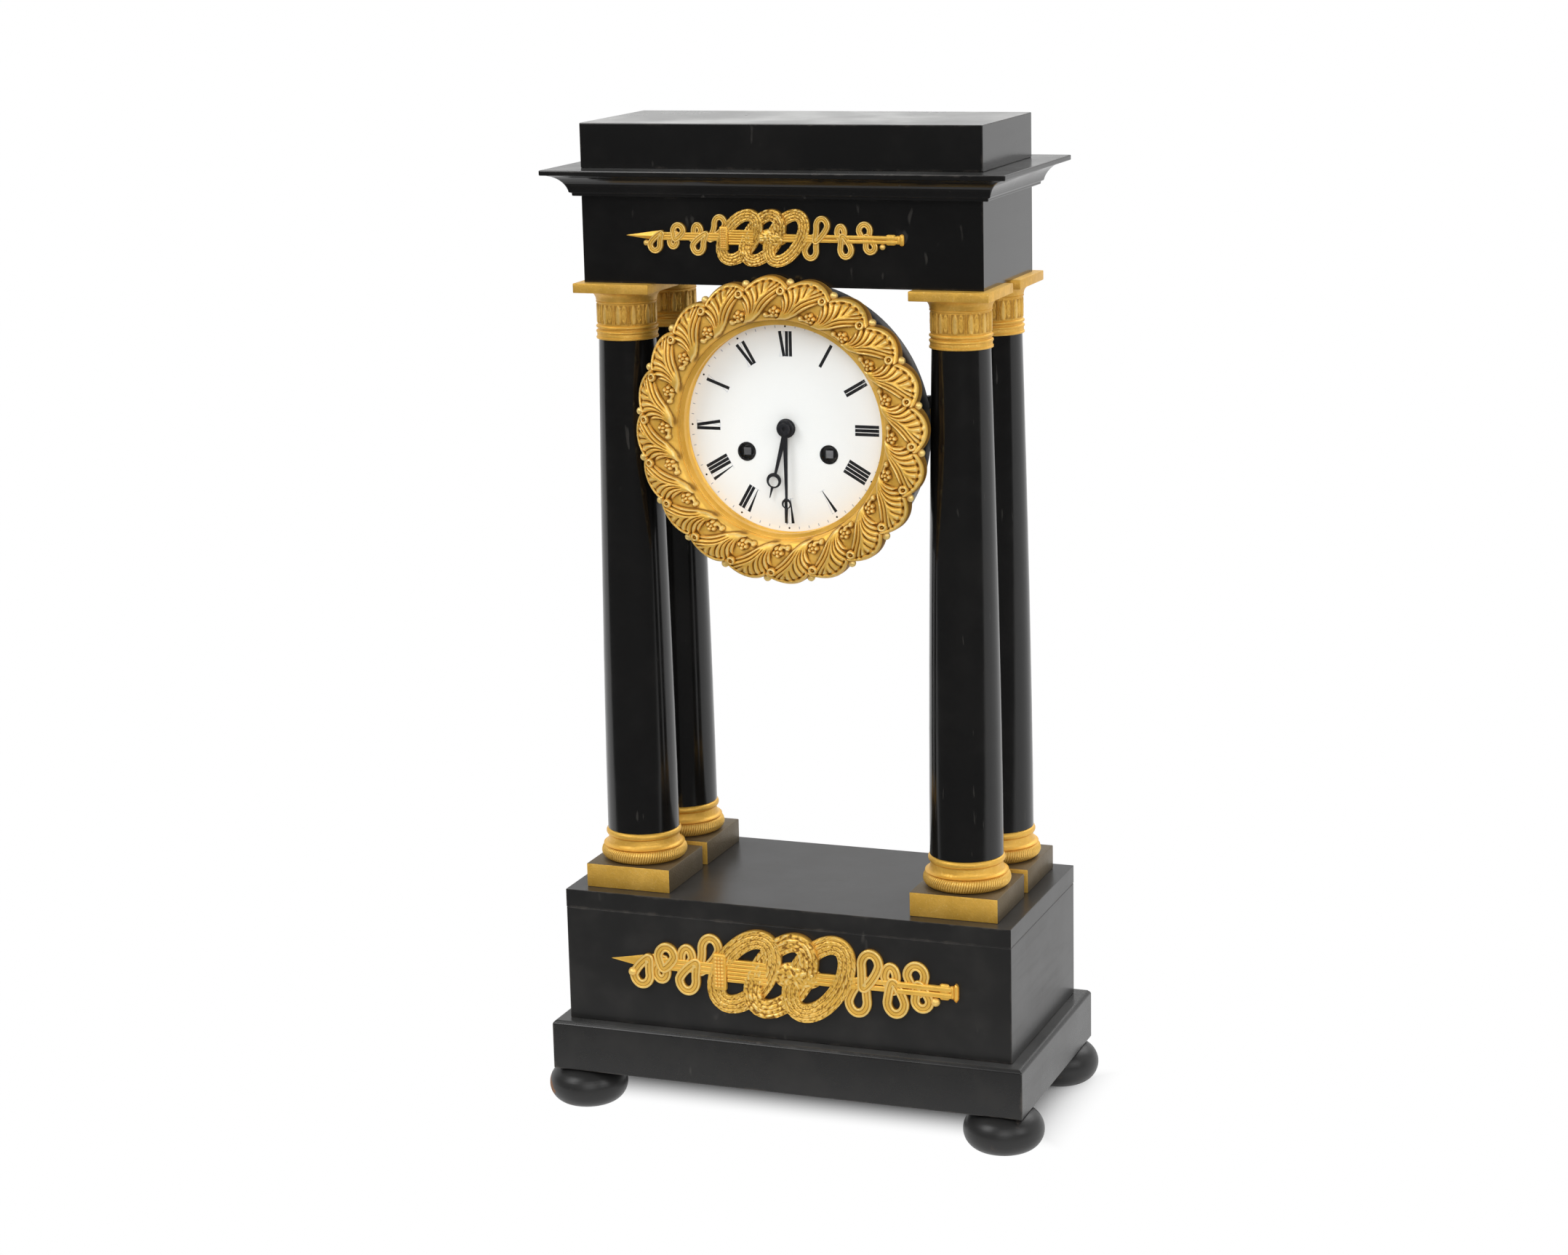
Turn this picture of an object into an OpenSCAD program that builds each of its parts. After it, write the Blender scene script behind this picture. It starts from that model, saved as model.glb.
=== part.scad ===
// Portico clock. Four columns on a plinth carry an entablature, and a drum with an eight-day
// striking movement hangs from it. Millimetres, +Z up, front towards -Y, origin on the floor
// under the middle of the case.

/* [Case] */
// Height of the bun feet
foot_h = 19.5; // [16:0.5:30]
// Diameter of the bun feet
foot_d = 39; // [30:1:44]
// Distance of the feet's axes from the plinth's ends and sides
foot_in = 13; // [12:0.5:24]
// How far the plinth stands out from the base
plinth_out = 7; // [5:0.5:12]
// Height of the plinth
plinth_h = 24.8; // [16:0.2:34]
// How far the base reaches beyond the column axes
base_reach = 30.4; // [26:0.1:34]
// Depth of the base
base_d = 108; // [100:1:114]
// Height of the base below its top board
base_h = 57.5; // [52:0.5:80]
// Thickness of the base's top board
board_h = 9; // [6:0.5:14]
// Thickness of the boards that the hollow boxes are made of
case_wall = 9; // [6:0.5:12]
// How far the frieze and the attic block reach beyond the column axes
frieze_reach = 15.4; // [14:0.1:18]
// Depth of the frieze and of the attic block
frieze_d = 77.6; // [74:0.2:84]
// Height of the frieze
frieze_h = 41; // [34:0.5:52]
// How far the cornice stands out from the frieze
cornice_out = 15; // [10:0.5:20]
// Height of the cornice
cornice_h = 12.9; // [11:0.1:18]
// Height of the attic block
attic_h = 21.1; // [12:0.1:32]

/* [Columns] */
// Distance of the column axes from the black ring, across the front
column_gap = 15.3; // [15:0.1:20]
// Distance of the column axes from the middle, front to back
column_y = 25; // [23:0.5:28]
// Length of the shafts
shaft_h = 242.5; // [235:0.5:300]
// Shaft diameter at the foot
shaft_d_foot = 35.4; // [30:0.2:38]
// Shaft diameter at the neck
shaft_d_neck = 27.7; // [22:0.1:30]
// Side of the square block under each column
block_w = 43.8; // [40:0.2:46]
// Height of the square block
block_h = 11.8; // [8:0.2:16]
// Height of the round base over the block
round_base_h = 15.5; // [13:0.5:20]
// Height of the capital under the abacus
capital_h = 22.9; // [20:0.1:30]
// Side of the abacus
abacus_w = 38.6; // [34:0.2:42]
// Thickness of the abacus
abacus_h = 4.6; // [3:0.2:7]
// Diameter of the iron rod inside each column
rod_d = 6; // [4:0.5:8]

/* [Drum and dial] */
// How much of the black ring's top is cut flat against the frieze
ring_flat = 1.2; // [0.4:0.1:3]
// How far the gilt bezel's lobes stand out beyond the black ring
bezel_out = 4.7; // [3:0.1:6]
// Lobes around the bezel
bezel_lobes = 20; // [12:2:28]
// Radius of the dial that shows inside the bezel
sight_r = 49.5; // [47.5:0.5:51]
// Relief of the bezel in front of its back face
bezel_relief = 9; // [7:0.5:12]
// Width of the black ring round the dial's seat
ring_w = 12.3; // [11.5:0.1:13]
// Margin of the dial's seat beyond what shows of the dial
seat_margin = 6.5; // [6:0.1:8]
// Wall of the drum and of its rear ring
drum_wall = 1.2; // [0.8:0.1:2]
// Length of the drum behind the black ring
drum_len = 40; // [38:0.5:44]
// Dial behind the bezel's back face
dial_recess = 6.3; // [6:0.1:8]
// Thickness of the enamel dial
dial_t = 1.2; // [0.8:0.1:2]
// Radius of the winding holes in the dial
winding_hole_r = 4.55; // [4.2:0.05:5]
// Tip of the minute hand inside the edge of the dial
hand_margin = 4; // [2:0.5:8]
// Length of the hour hand, as a share of the minute hand
hour_share = 0.763; // [0.6:0.001:0.8]

/* [Movement] */
// Radius of the plates
plate_r = 46; // [45:0.5:47.5]
// Thickness of the plates
plate_t = 2; // [1.5:0.1:2.5]
// Distance between the plates
plate_gap = 22; // [21.5:0.5:23]
// Winding arbors left and right of the centre
arbor_x = 20.6; // [20.4:0.1:21.2]
// Winding arbors below the centre
arbor_drop = 12; // [11:0.1:13]
// Teeth of the great wheels
great_teeth = 84; // [80:2:84]
// Outer radius of the spring barrels
barrel_r = 17.5; // [15:0.5:17.5]
// Length of the spring barrels
barrel_h = 12.4; // [10:0.2:12.4]
// Width of the square on the winding arbors
square_w = 3.6; // [3:0.1:4]
// Teeth of the escape wheel
escape_teeth = 40; // [30:1:44]
// Radius of the escape wheel
escape_r = 9; // [7.5:0.1:9]
// Running clearance of pivots and pins
play = 0.06; // [0.04:0.01:0.08]
// Gap between pieces that only lie beside each other
gap = 0.3; // [0.2:0.05:0.5]

/* [Hidden] */

$fn = 64;
ebony = "#1c1b1a";
gilt = "#d9a032";
brass = "#c9a85a";
steel = "#8f9296";
enamel = "#f4f3ee";
eps = 0.01;

// Widths of the case, from the dial outwards
seat_r = sight_r + seat_margin;
drum_r = max(plate_r + 5.4, sight_r + 1.9);
ring_r = seat_r + ring_w;
bezel_r = ring_r + bezel_out;
column_x = ring_r + column_gap;
frieze_w = 2 * (column_x + frieze_reach);
base_w = 2 * (column_x + base_reach);
plinth_w = base_w + 2 * plinth_out;
plinth_d = base_d + 2 * plinth_out;
foot_x = plinth_w / 2 - foot_in;
foot_y = plinth_d / 2 - foot_in;
dial_drop = ring_r - ring_flat;
minute_hand_l = sight_r - hand_margin;
hour_hand_l = minute_hand_l * hour_share;

// Heights of the case, from the floor up
plinth_z = foot_h;
base_z = plinth_z + plinth_h;
board_z = base_z + base_h;
block_z = board_z + board_h;
round_base_z = block_z + block_h;
shaft_z = round_base_z + round_base_h;
capital_z = shaft_z + shaft_h;
abacus_z = capital_z + capital_h;
frieze_z = abacus_z + abacus_h;
cornice_z = frieze_z + frieze_h;
attic_z = cornice_z + cornice_h;
dial_z = frieze_z - dial_drop;
rod_play = 0.5;

// Depths of the drum and the movement, from the front back
door_gap = 0.5;
door_y = -frieze_d / 2 - door_gap;
ring_y = door_y + door_gap + 0.2;
dial_y = door_y + dial_recess;
dial_plate_t = 1;
lip_t = 1.5;
lip_in = 2;
lip_y = dial_y + dial_t + dial_plate_t;
ring_end = ring_y + 14.6;
drum_y = lip_y + lip_t;
drum_end = ring_end + drum_len;
motion_space = 5.8;
plate_y = lip_y + motion_space;
inner_y = plate_y + plate_t;
back_y = inner_y + plate_gap;
rear_y = back_y + plate_t;
rear_ring_t = 3;
back_door_y = drum_end + rear_ring_t + gap;
back_door_t = 1.2;

// Tooth proportions, as shares of the module
addendum = 0.65;
dedendum = 1.15;
tooth_fill = 0.36;
tooth_taper = 0.18;

// Modules and tooth counts of the trains
great_m = 0.45;
feed_m = 0.38;
centre_m = 0.3;
third_m = 0.28;
strike_m = 0.36;
pin_m = 0.28;
lock_m = 0.26;
motion_m = 0.4;
first_pinion = 12;
centre_pinion = 10;
leaf_pinion = 8;
feed_teeth = 72;
centre_teeth = 84;
third_teeth = 72;
second_teeth = 64;
pin_teeth = 60;
lock_teeth = 56;
cannon_teeth = 12;
minute_teeth = 36;
minute_leaves = 10;
hour_teeth = 40;

// Arbor places, right and up from the dial centre
centre_at = [0, 0];
going_at = [arbor_x, -arbor_drop];
strike_at = [-arbor_x, -arbor_drop];
first_d = reach(great_teeth, first_pinion, great_m);
feed_at = meet(going_at, first_d, centre_at, reach(feed_teeth, centre_pinion, feed_m), 1);
second_at = [-feed_at.x, feed_at.y];
third_at = polar(reach(centre_teeth, leaf_pinion, centre_m), 95.5);
escape_d = reach(third_teeth, leaf_pinion, third_m);
escape_at = [0, third_at.y + sqrt(escape_d * escape_d - third_at.x * third_at.x)];
anchor_at = [0, escape_at.y + escape_r + 4];
pin_at = second_at + polar(reach(second_teeth, leaf_pinion, strike_m), 115);
lock_at = pin_at + polar(reach(pin_teeth, leaf_pinion, pin_m), 40);
fly_at = lock_at + polar(reach(lock_teeth, leaf_pinion, lock_m), 80);
minute_d = reach(cannon_teeth, minute_teeth, motion_m);
minute_at = [0, minute_d];
hour_m = 2 * minute_d / (minute_leaves + hour_teeth);
hammer_at = [-34, 16];
bell_at = [-26, -12.4];
bell_r = 20.6;
pillar_angles = [0, 60, 120, 180, 270];
pillar_ring = plate_r - 5;
click_out = 11;
click_turn = 35;
ratchet_r = 6.6;

// Pieces of the movement along the arbors
pivot_r = 0.5;
arbor_r = 0.7;
barrel_y = inner_y + 1.6;
great_y = barrel_y + barrel_h;
great_t = 1.6;
feed_y = great_y + great_t + 2;
wheel_t = 1;
centre_y = back_y - 1.9;
third_y = inner_y + 9;
escape_y = inner_y + 5;
pin_y = inner_y + 12.4;
lock_y = inner_y + 2;
winding_r = 2.2;
cannon_r = 0.8;
pipe_wall = 0.7;
pipe_r = cannon_r + play + pipe_wall;
hour_pipe_r = pipe_r + play + pipe_wall;
motion_y = plate_y - 2.2;
hour_hand_y = dial_y - 1.9;
minute_hand_y = hour_hand_y - 1.5;
hand_t = 0.6;
crutch_y = rear_y + 2.6;
cock_y = rear_y + 5.5;
cock_t = 1.5;
rod_y = cock_y + 3.5;
bell_y = rear_y + 6;

function polar(r, a) = [r * cos(a), r * sin(a)];
function reach(n1, n2, m) = (n1 + n2) * m / 2;
function angle_of(p, q) = atan2(q.y - p.y, q.x - p.x);

// Point at r1 from p and r2 from q, to the left of the line from p to q when side is -1
function meet(p, r1, q, r2, side) =
    let (d = norm(q - p), a = (r1 * r1 - r2 * r2 + d * d) / (2 * d), h = sqrt(r1 * r1 - a * a), e = (q - p) / d)
    p + a * e + side * h * [e.y, -e.x];

// Outline of a toothed wheel with its first tooth at the given angle
function tooth_outline(n, m, phase) =
    let (tip = n * m / 2 + addendum * m, root = n * m / 2 - dedendum * m)
    let (wide = (tooth_fill + tooth_taper) * 180 / n, thin = (tooth_fill - tooth_taper) * 180 / n)
    [for (i = [0:n - 1]) for (k = [0:3])
        polar(k == 0 || k == 3 ? root : tip, phase + i * 360 / n + [-wide, -thin, thin, wide][k])];

function ellipse_points(a, b, n) = [for (i = [0:n - 1]) [a * cos(i * 360 / n), b * sin(i * 360 / n)]];

// Places a drawing upright, with its back at y + t and its front at y
module upright(y, t) {
    translate([0, y + t, 0])
        rotate([90, 0, 0])
            linear_extrude(t)
                children();
}

// Moves a piece to an arbor's place behind the dial
module at_arbor(p) {
    translate([p.x, 0, dial_z + p.y])
        children();
}

// Round bar along Y from y, on the local axis
module bar(y, l, r) {
    translate([0, y, 0])
        rotate([-90, 0, 0])
            cylinder(h = l, r = r);
}

// Turned piece about the Y axis, from a profile of radius and depth
module turned() {
    rotate([-90, 0, 0])
        rotate_extrude()
            children();
}

// Toothed disc, crossed out with spokes where it is large enough
module toothed(n, m, phase, spokes) {
    rim = n * m / 2 - dedendum * m - 1.1;
    hub = 2.4;
    difference() {
        polygon(tooth_outline(n, m, phase));
        if (spokes > 0)
            difference() {
                circle(rim);
                circle(hub);
                for (i = [0:spokes - 1])
                    rotate(i * 360 / spokes)
                        translate([0, -0.7])
                            square([rim + 1, 1.4]);
            }
    }
}

// Arbor between the plates with its two pivots
module arbor() {
    bar(inner_y + gap, plate_gap - 2 * gap, arbor_r);
    bar(inner_y - plate_t, plate_gap + 2 * plate_t, pivot_r);
}

// Four copies, one at each column
module at_columns() {
    for (sx = [-1, 1])
        for (sy = [-1, 1])
            translate([sx * column_x, sy * column_y, 0])
                children();
}

// Box standing on z, centred on the Z axis
module block(w, d, h, z) {
    translate([-w / 2, -d / 2, z])
        cube([w, d, h]);
}

module bun_feet() {
    color(ebony)
    for (sx = [-1, 1])
        for (sy = [-1, 1])
            translate([sx * foot_x, sy * foot_y, 0])
                rotate_extrude()
                    intersection() {
                        union() {
                            translate([foot_d / 2 - foot_h / 2, foot_h / 2])
                                circle(foot_h / 2);
                            square([foot_d / 2 - foot_h / 2, foot_h]);
                        }
                        square([foot_d, foot_h]);
                    }
}

module plinth() {
    edge = 1.5;
    color(ebony)
    difference() {
        block(plinth_w, plinth_d, plinth_h, plinth_z);
        for (s = [-1, 1]) {
            translate([0, s * plinth_d / 2, base_z])
                rotate([45, 0, 0])
                    cube([plinth_w * 2, edge * 1.4, edge * 1.4], center = true);
            translate([s * plinth_w / 2, 0, base_z])
                rotate([0, 45, 0])
                    cube([edge * 1.4, plinth_d * 2, edge * 1.4], center = true);
        }
    }
}

module base_box() {
    color(ebony)
    difference() {
        block(base_w, base_d, base_h, base_z);
        block(base_w - 2 * case_wall, base_d - 2 * case_wall, base_h + 2, base_z - 1);
    }
}

module base_top_board() {
    color(ebony)
    difference() {
        block(base_w, base_d, board_h, board_z);
        at_columns()
            translate([0, 0, board_z - 1])
                cylinder(h = board_h + 2, d = rod_d + 2 * rod_play);
    }
}

// Oval ring of thickness t, its band w wide
module oval_ring(a, b, w, tilt, t) {
    rotate(tilt)
        difference() {
            linear_extrude(t)
                polygon(ellipse_points(a, b, 32));
            translate([0, 0, -1])
                linear_extrude(t + 2)
                    polygon(ellipse_points(a - w, b - w, 32));
        }
}

// Pierced mount: an arrow threaded through looped ribbons, with three linked ovals in the middle.
// A loop is given by its place along the wing, its height, and its half width and half height.
module arrow_mount(l, h, t) {
    band = h * 0.17;
    ribbon = h * 0.09;
    shaft = h * 0.12;
    middle = h * 0.87;
    wing = l / 2 - middle;
    head = l * 0.135;
    right_loops = [[-0.01, -0.2, 0.14, 0.17], [0.12, 0.21, 0.135, 0.16], [0.32, 0.1, 0.1, 0.16],
        [0.375, -0.17, 0.135, 0.165], [0.575, 0.14, 0.135, 0.15], [0.64, -0.12, 0.12, 0.13]];
    left_loops = [[-0.05, 0.21, 0.135, 0.165], [0.19, -0.15, 0.135, 0.165], [0.2, 0.09, 0.1, 0.145],
        [0.41, 0.085, 0.13, 0.145], [0.47, -0.09, 0.1, 0.13], [0.67, -0.14, 0.13, 0.15]];
    translate([-l / 2 + head * 0.8, -shaft / 2, 0])
        cube([l * 0.84, shaft, t]);
    linear_extrude(t)
        polygon([[-l / 2, 0], [-l / 2 + head * 0.8, h * 0.09], [-l / 2 + head, 0], [-l / 2 + head * 0.8, -h * 0.09]]);
    translate([l / 2 - head, -h * 0.085, 0])
        cube([head * 0.75, h * 0.17, t]);
    translate([l / 2 - head / 2, -h * 0.055, 0])
        cube([head / 2, h * 0.11, t]);
    for (k = [-1, 0, 1])
        translate([k * h * 0.425, 0, 0])
            oval_ring(h * 0.545, h * 0.345, band, 54.5 + k * 1.5, t);
    for (side = [-1, 1])
        for (loop = side > 0 ? right_loops : left_loops)
            translate([side * (middle + wing * loop[0]), h * loop[1], 0])
                oval_ring(h * loop[2], h * loop[3], ribbon, -side * 8, t);
    for (side = [-1, 1])
        translate([side * (middle + wing * 0.77), -h * 0.12, 0])
            cylinder(h = t, r = ribbon * 0.8);
    translate([-h * 0.76, -h * 0.21, 0])
        cube([h * 0.125, h * 0.375, t]);
}

module base_ornament() {
    ornament_l = 179;
    ornament_h = 46;
    ornament_t = 2.2;
    color(gilt)
    translate([-1, 0, base_z + base_h * 0.577])
        translate([0, -base_d / 2, 0])
            rotate([90, 0, 0])
                arrow_mount(ornament_l, ornament_h, ornament_t);
}

module column_bases() {
    torus_d = 42;
    torus_h = 7.4;
    ring_d = 37;
    ring_h = 3.2;
    color(gilt)
    at_columns()
        difference() {
            union() {
                block(block_w, block_w, block_h, block_z);
                translate([0, 0, round_base_z])
                    rotate_extrude()
                        column_base_profile(torus_d / 2, torus_h, ring_d / 2, ring_h);
            }
            translate([0, 0, block_z - 1])
                cylinder(h = block_h + round_base_h + 2, d = rod_d + 2 * rod_play);
        }
}

// Torus, scotia and upper ring, as a half section
module column_base_profile(torus_r, torus_h, ring_r, ring_h) {
    scotia = round_base_h - torus_h - ring_h;
    translate([torus_r - torus_h / 2, torus_h / 2])
        circle(torus_h / 2);
    square([torus_r - torus_h / 2, torus_h]);
    difference() {
        translate([0, torus_h])
            square([ring_r + 0.4, scotia]);
        translate([ring_r + 1.2, torus_h + scotia / 2])
            circle(scotia / 2 - 0.4);
    }
    translate([0, torus_h + scotia])
        square([ring_r - ring_h / 2, ring_h]);
    translate([ring_r - ring_h / 2, torus_h + scotia + ring_h / 2])
        circle(ring_h / 2);
}

module column_shafts() {
    steps = 8;
    swell = 1.5;
    r0 = shaft_d_foot / 2;
    r1 = shaft_d_neck / 2;
    side = [for (i = [0:steps]) [r0 - (r0 - r1) * pow(i / steps, swell), shaft_h * i / steps]];
    color(ebony)
    at_columns()
        translate([0, 0, shaft_z])
            rotate_extrude()
                difference() {
                    polygon(concat([[0, 0]], side, [[0, shaft_h]]));
                    translate([-1, -1])
                        square([1 + rod_d / 2 + rod_play, shaft_h + 2]);
                }
}

module column_capitals() {
    color(gilt)
    at_columns()
        difference() {
            union() {
                block(abacus_w, abacus_w, abacus_h, abacus_z);
                translate([0, 0, capital_z])
                    rotate_extrude()
                        capital_profile();
            }
            translate([0, 0, capital_z - 1])
                cylinder(h = capital_h + abacus_h + 2, d = rod_d + 2 * rod_play);
        }
}

// Collar, two annulets, banded neck and flared echinus, as a half section
module capital_profile() {
    collar_h = 3.4;
    bead_r = 0.9;
    neck_r = shaft_d_neck / 2 + 0.4;
    flare = 5;
    square([neck_r + 0.6, collar_h]);
    translate([0, collar_h])
        square([neck_r, capital_h - collar_h]);
    for (k = [0, 1])
        translate([neck_r, collar_h + 1.2 + 2.2 * k])
            circle(bead_r);
    difference() {
        translate([0, capital_h - flare])
            square([neck_r + flare - 0.6, flare]);
        translate([neck_r + flare, capital_h - flare])
            circle(flare - 0.6);
        translate([neck_r + flare - 0.6, capital_h - flare - 1])
            square([2, flare - 1]);
    }
}

module tie_rods() {
    nut_h = 5;
    nut_d = rod_d + 3;
    rod_low = board_z - nut_h;
    color(steel)
    at_columns() {
        translate([0, 0, rod_low])
            cylinder(h = frieze_z + case_wall + nut_h - rod_low, d = rod_d);
        translate([0, 0, rod_low])
            cylinder(h = nut_h, d = nut_d, $fn = 6);
        translate([0, 0, frieze_z + case_wall])
            cylinder(h = nut_h, d = nut_d, $fn = 6);
    }
}

module frieze_box() {
    color(ebony)
    difference() {
        block(frieze_w, frieze_d, frieze_h, frieze_z);
        block(frieze_w - 2 * case_wall, frieze_d - 2 * case_wall, frieze_h, frieze_z + case_wall);
        at_columns()
            translate([0, 0, frieze_z - 1])
                cylinder(h = case_wall + 2, d = rod_d + 2 * rod_play);
    }
}

module frieze_ornament() {
    ornament_l = 138;
    ornament_h = 27.8;
    ornament_t = 2;
    color(gilt)
    translate([-7.5, 0, frieze_z + frieze_h * 0.554])
        translate([0, -frieze_d / 2, 0])
            rotate([90, 0, 0])
                arrow_mount(ornament_l, ornament_h, ornament_t);
}

// Section of the cornice across a frieze of the given width
module cornice_profile(w) {
    fillet = 2.5;
    step = 1.6;
    step_out = 3.5;
    cove = cornice_h - fillet - step;
    translate([-w / 2 - cornice_out, cornice_h - fillet])
        square([w + 2 * cornice_out, fillet]);
    translate([-w / 2 - step_out, 0])
        square([w + 2 * step_out, step]);
    difference() {
        translate([-w / 2 - cornice_out + 1, step])
            square([w + 2 * cornice_out - 2, cove]);
        for (s = [-1, 1])
            translate([s * (w / 2 + cornice_out), step - 1.6])
                circle(cornice_out - step_out - 1);
    }
}

module cornice() {
    color(ebony)
    translate([0, 0, cornice_z])
        intersection() {
            translate([0, plinth_d, 0])
                rotate([90, 0, 0])
                    linear_extrude(2 * plinth_d)
                        cornice_profile(frieze_w);
            rotate([90, 0, 90])
                translate([0, 0, -plinth_w])
                    linear_extrude(2 * plinth_w)
                        cornice_profile(frieze_d);
        }
}

module attic() {
    color(ebony)
    block(frieze_w, frieze_d, attic_h, attic_z);
}

// Hinge of the bezel door, on its left
hinge_r = 1.6;
hinge_pin_r = 0.8;
hinge_l = 18;
hinge_x = -ring_r - hinge_r - 0.4;
hinge_y = ring_y + hinge_r + 0.2;

// Knuckle of the bezel hinge, l long from height z over the dial centre
module knuckle(x, y, z, l) {
    translate([x, y, dial_z + z])
        difference() {
            cylinder(h = l, r = hinge_r);
            translate([0, 0, -1])
                cylinder(h = l + 2, r = hinge_pin_r + play);
        }
}

module backing_ring() {
    color(ebony)
    difference() {
        union() {
            at_arbor(centre_at)
                turned()
                    difference() {
                        translate([0, ring_y])
                            square([ring_r, ring_end - ring_y]);
                        translate([-1, ring_y - 1])
                            square([1 + seat_r, lip_y - ring_y + 1]);
                        translate([-1, ring_y])
                            square([1 + sight_r - lip_in, ring_end - ring_y + 1]);
                        translate([-1, drum_y])
                            square([1 + drum_r + play, ring_end - drum_y + 1]);
                    }
            for (z = [-hinge_l / 2, hinge_l / 6])
                translate([hinge_x, hinge_y - 0.6, dial_z + z])
                    cube([hinge_r + 2.4, 1.2, hinge_l / 3]);
            for (z = [-hinge_l / 2, hinge_l / 6])
                translate([hinge_x, hinge_y, dial_z + z])
                    cylinder(h = hinge_l / 3, r = hinge_r);
        }
        translate([hinge_x, hinge_y, dial_z - hinge_l])
            cylinder(h = 2 * hinge_l, r = hinge_pin_r + play);
        translate([-ring_r, ring_y - 1, frieze_z])
            cube([2 * ring_r, ring_end - ring_y + 2, ring_r]);
    }
}

module drum() {
    slot_w = 15;
    slot_l = 10;
    color(ebony)
    at_arbor(centre_at)
        difference() {
            bar(drum_y, drum_end - drum_y, drum_r);
            bar(drum_y - 1, drum_end - drum_y + 2, drum_r - drum_wall);
            translate([-slot_w / 2, rod_y - slot_l / 2, -drum_r - 1])
                cube([slot_w, slot_l, drum_r]);
        }
}

// Hinge of the back door, on its right as seen from the front
back_hinge_x = drum_r + hinge_r + 0.6;
back_hinge_y = back_door_y + back_door_t / 2;

module rear_ring() {
    rear_inner = plate_r + 1;
    color(brass)
    difference() {
        union() {
            at_arbor(centre_at)
                difference() {
                    bar(drum_end, rear_ring_t, drum_r);
                    bar(drum_end - 1, rear_ring_t + 2, rear_inner);
                }
            for (z = [-hinge_l / 2, hinge_l / 6])
                translate([drum_r - 1, drum_end + 0.6, dial_z + z])
                    cube([hinge_r + 1.6, back_hinge_y - drum_end - 0.6, hinge_l / 3]);
            for (z = [-hinge_l / 2, hinge_l / 6])
                translate([back_hinge_x, back_hinge_y, dial_z + z])
                    cylinder(h = hinge_l / 3, r = hinge_r);
        }
        translate([back_hinge_x, back_hinge_y, dial_z - hinge_l])
            cylinder(h = 2 * hinge_l, r = hinge_pin_r + play);
    }
}

module back_door() {
    knob_r = 3;
    color(brass)
    difference() {
        union() {
            at_arbor(centre_at)
                bar(back_door_y, back_door_t, drum_r - 1);
            translate([-drum_r + 9, 0, dial_z])
                bar(back_door_y, back_door_t + 4, knob_r);
            translate([drum_r - 4, back_door_y, dial_z - hinge_l / 6 + gap])
                cube([back_hinge_x - drum_r + 4, back_door_t, hinge_l / 3 - 2 * gap]);
            translate([back_hinge_x, back_hinge_y, dial_z - hinge_l / 6 + gap])
                cylinder(h = hinge_l / 3 - 2 * gap, r = hinge_r);
        }
        translate([back_hinge_x, back_hinge_y, dial_z - hinge_l])
            cylinder(h = 2 * hinge_l, r = hinge_pin_r + play);
    }
}

module back_hinge_pin() {
    color(brass)
    translate([back_hinge_x, back_hinge_y, dial_z - hinge_l / 2])
        cylinder(h = hinge_l, r = hinge_pin_r);
}

// Scalloped outline of the bezel
module lobed_outline() {
    lobe_r = bezel_r * PI / bezel_lobes * 1.18;
    circle(bezel_r - lobe_r * 0.62);
    for (i = [0:bezel_lobes - 1])
        rotate(i * 360 / bezel_lobes + 93)
            translate([bezel_r - lobe_r, 0])
                circle(lobe_r);
}

// Half section of the bezel's relief in front of its back face
module bezel_profile() {
    crown = bezel_relief;
    inner = sight_r + 2.6;
    translate([inner, -3])
        square([bezel_r - inner, 3]);
    difference() {
        intersection() {
            translate([inner, -crown])
                square([bezel_r - inner, crown]);
            translate([(inner + bezel_r) / 2 - 1, 16 - crown])
                circle(16);
        }
        translate([inner - 2.5, -crown - 0.5])
            circle(6);
    }
}

module bezel() {
    bead_r = 1.7;
    bead_h = 4.6;
    color(gilt)
    difference() {
        union() {
            intersection() {
                at_arbor(centre_at)
                    translate([0, door_y, 0])
                        turned()
                            bezel_profile();
                translate([0, 0, dial_z])
                    upright(door_y - bezel_relief - 1, bezel_relief + 1)
                        lobed_outline();
            }
            at_arbor(centre_at)
                for (i = [0:bezel_lobes - 1])
                    rotate([0, -(i + 0.5) * 360 / bezel_lobes - 93, 0])
                        translate([bezel_r - 3.6, 0, 0])
                            bar(door_y - bead_h, bead_h - 0.6, bead_r);
            translate([hinge_x - hinge_r, door_y - eps, dial_z - hinge_l / 6 + gap])
                cube([2 * hinge_r, hinge_y - door_y, hinge_l / 3 - 2 * gap]);
            translate([hinge_x, hinge_y, dial_z - hinge_l / 6 + gap])
                cylinder(h = hinge_l / 3 - 2 * gap, r = hinge_r);
        }
        translate([hinge_x, hinge_y, dial_z - hinge_l])
            cylinder(h = 2 * hinge_l, r = hinge_pin_r + play);
    }
}

glass_r = sight_r + 2.4;
glass_t = 1.2;
glass_y = door_y - 2.2;
glass_seat = 0.3;

module sight_ring() {
    color(gilt)
    at_arbor(centre_at)
        turned()
            difference() {
                translate([sight_r, glass_y + glass_t + glass_seat])
                    square([glass_r - sight_r, dial_y - gap - glass_y - glass_t - glass_seat]);
                translate([sight_r - 1.2, dial_y - 2.6])
                    circle(2);
            }
}

module bezel_glass() {
    dome_r = 185;
    deep = sqrt(dome_r * dome_r - glass_r * glass_r);
    color("#dfe8ea", 0.3)
    at_arbor(centre_at)
        intersection() {
            translate([0, glass_y + deep, 0])
                difference() {
                    sphere(dome_r, $fn = 96);
                    sphere(dome_r - glass_t, $fn = 96);
                }
            bar(glass_y - 12, 14, glass_r);
        }
}

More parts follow.
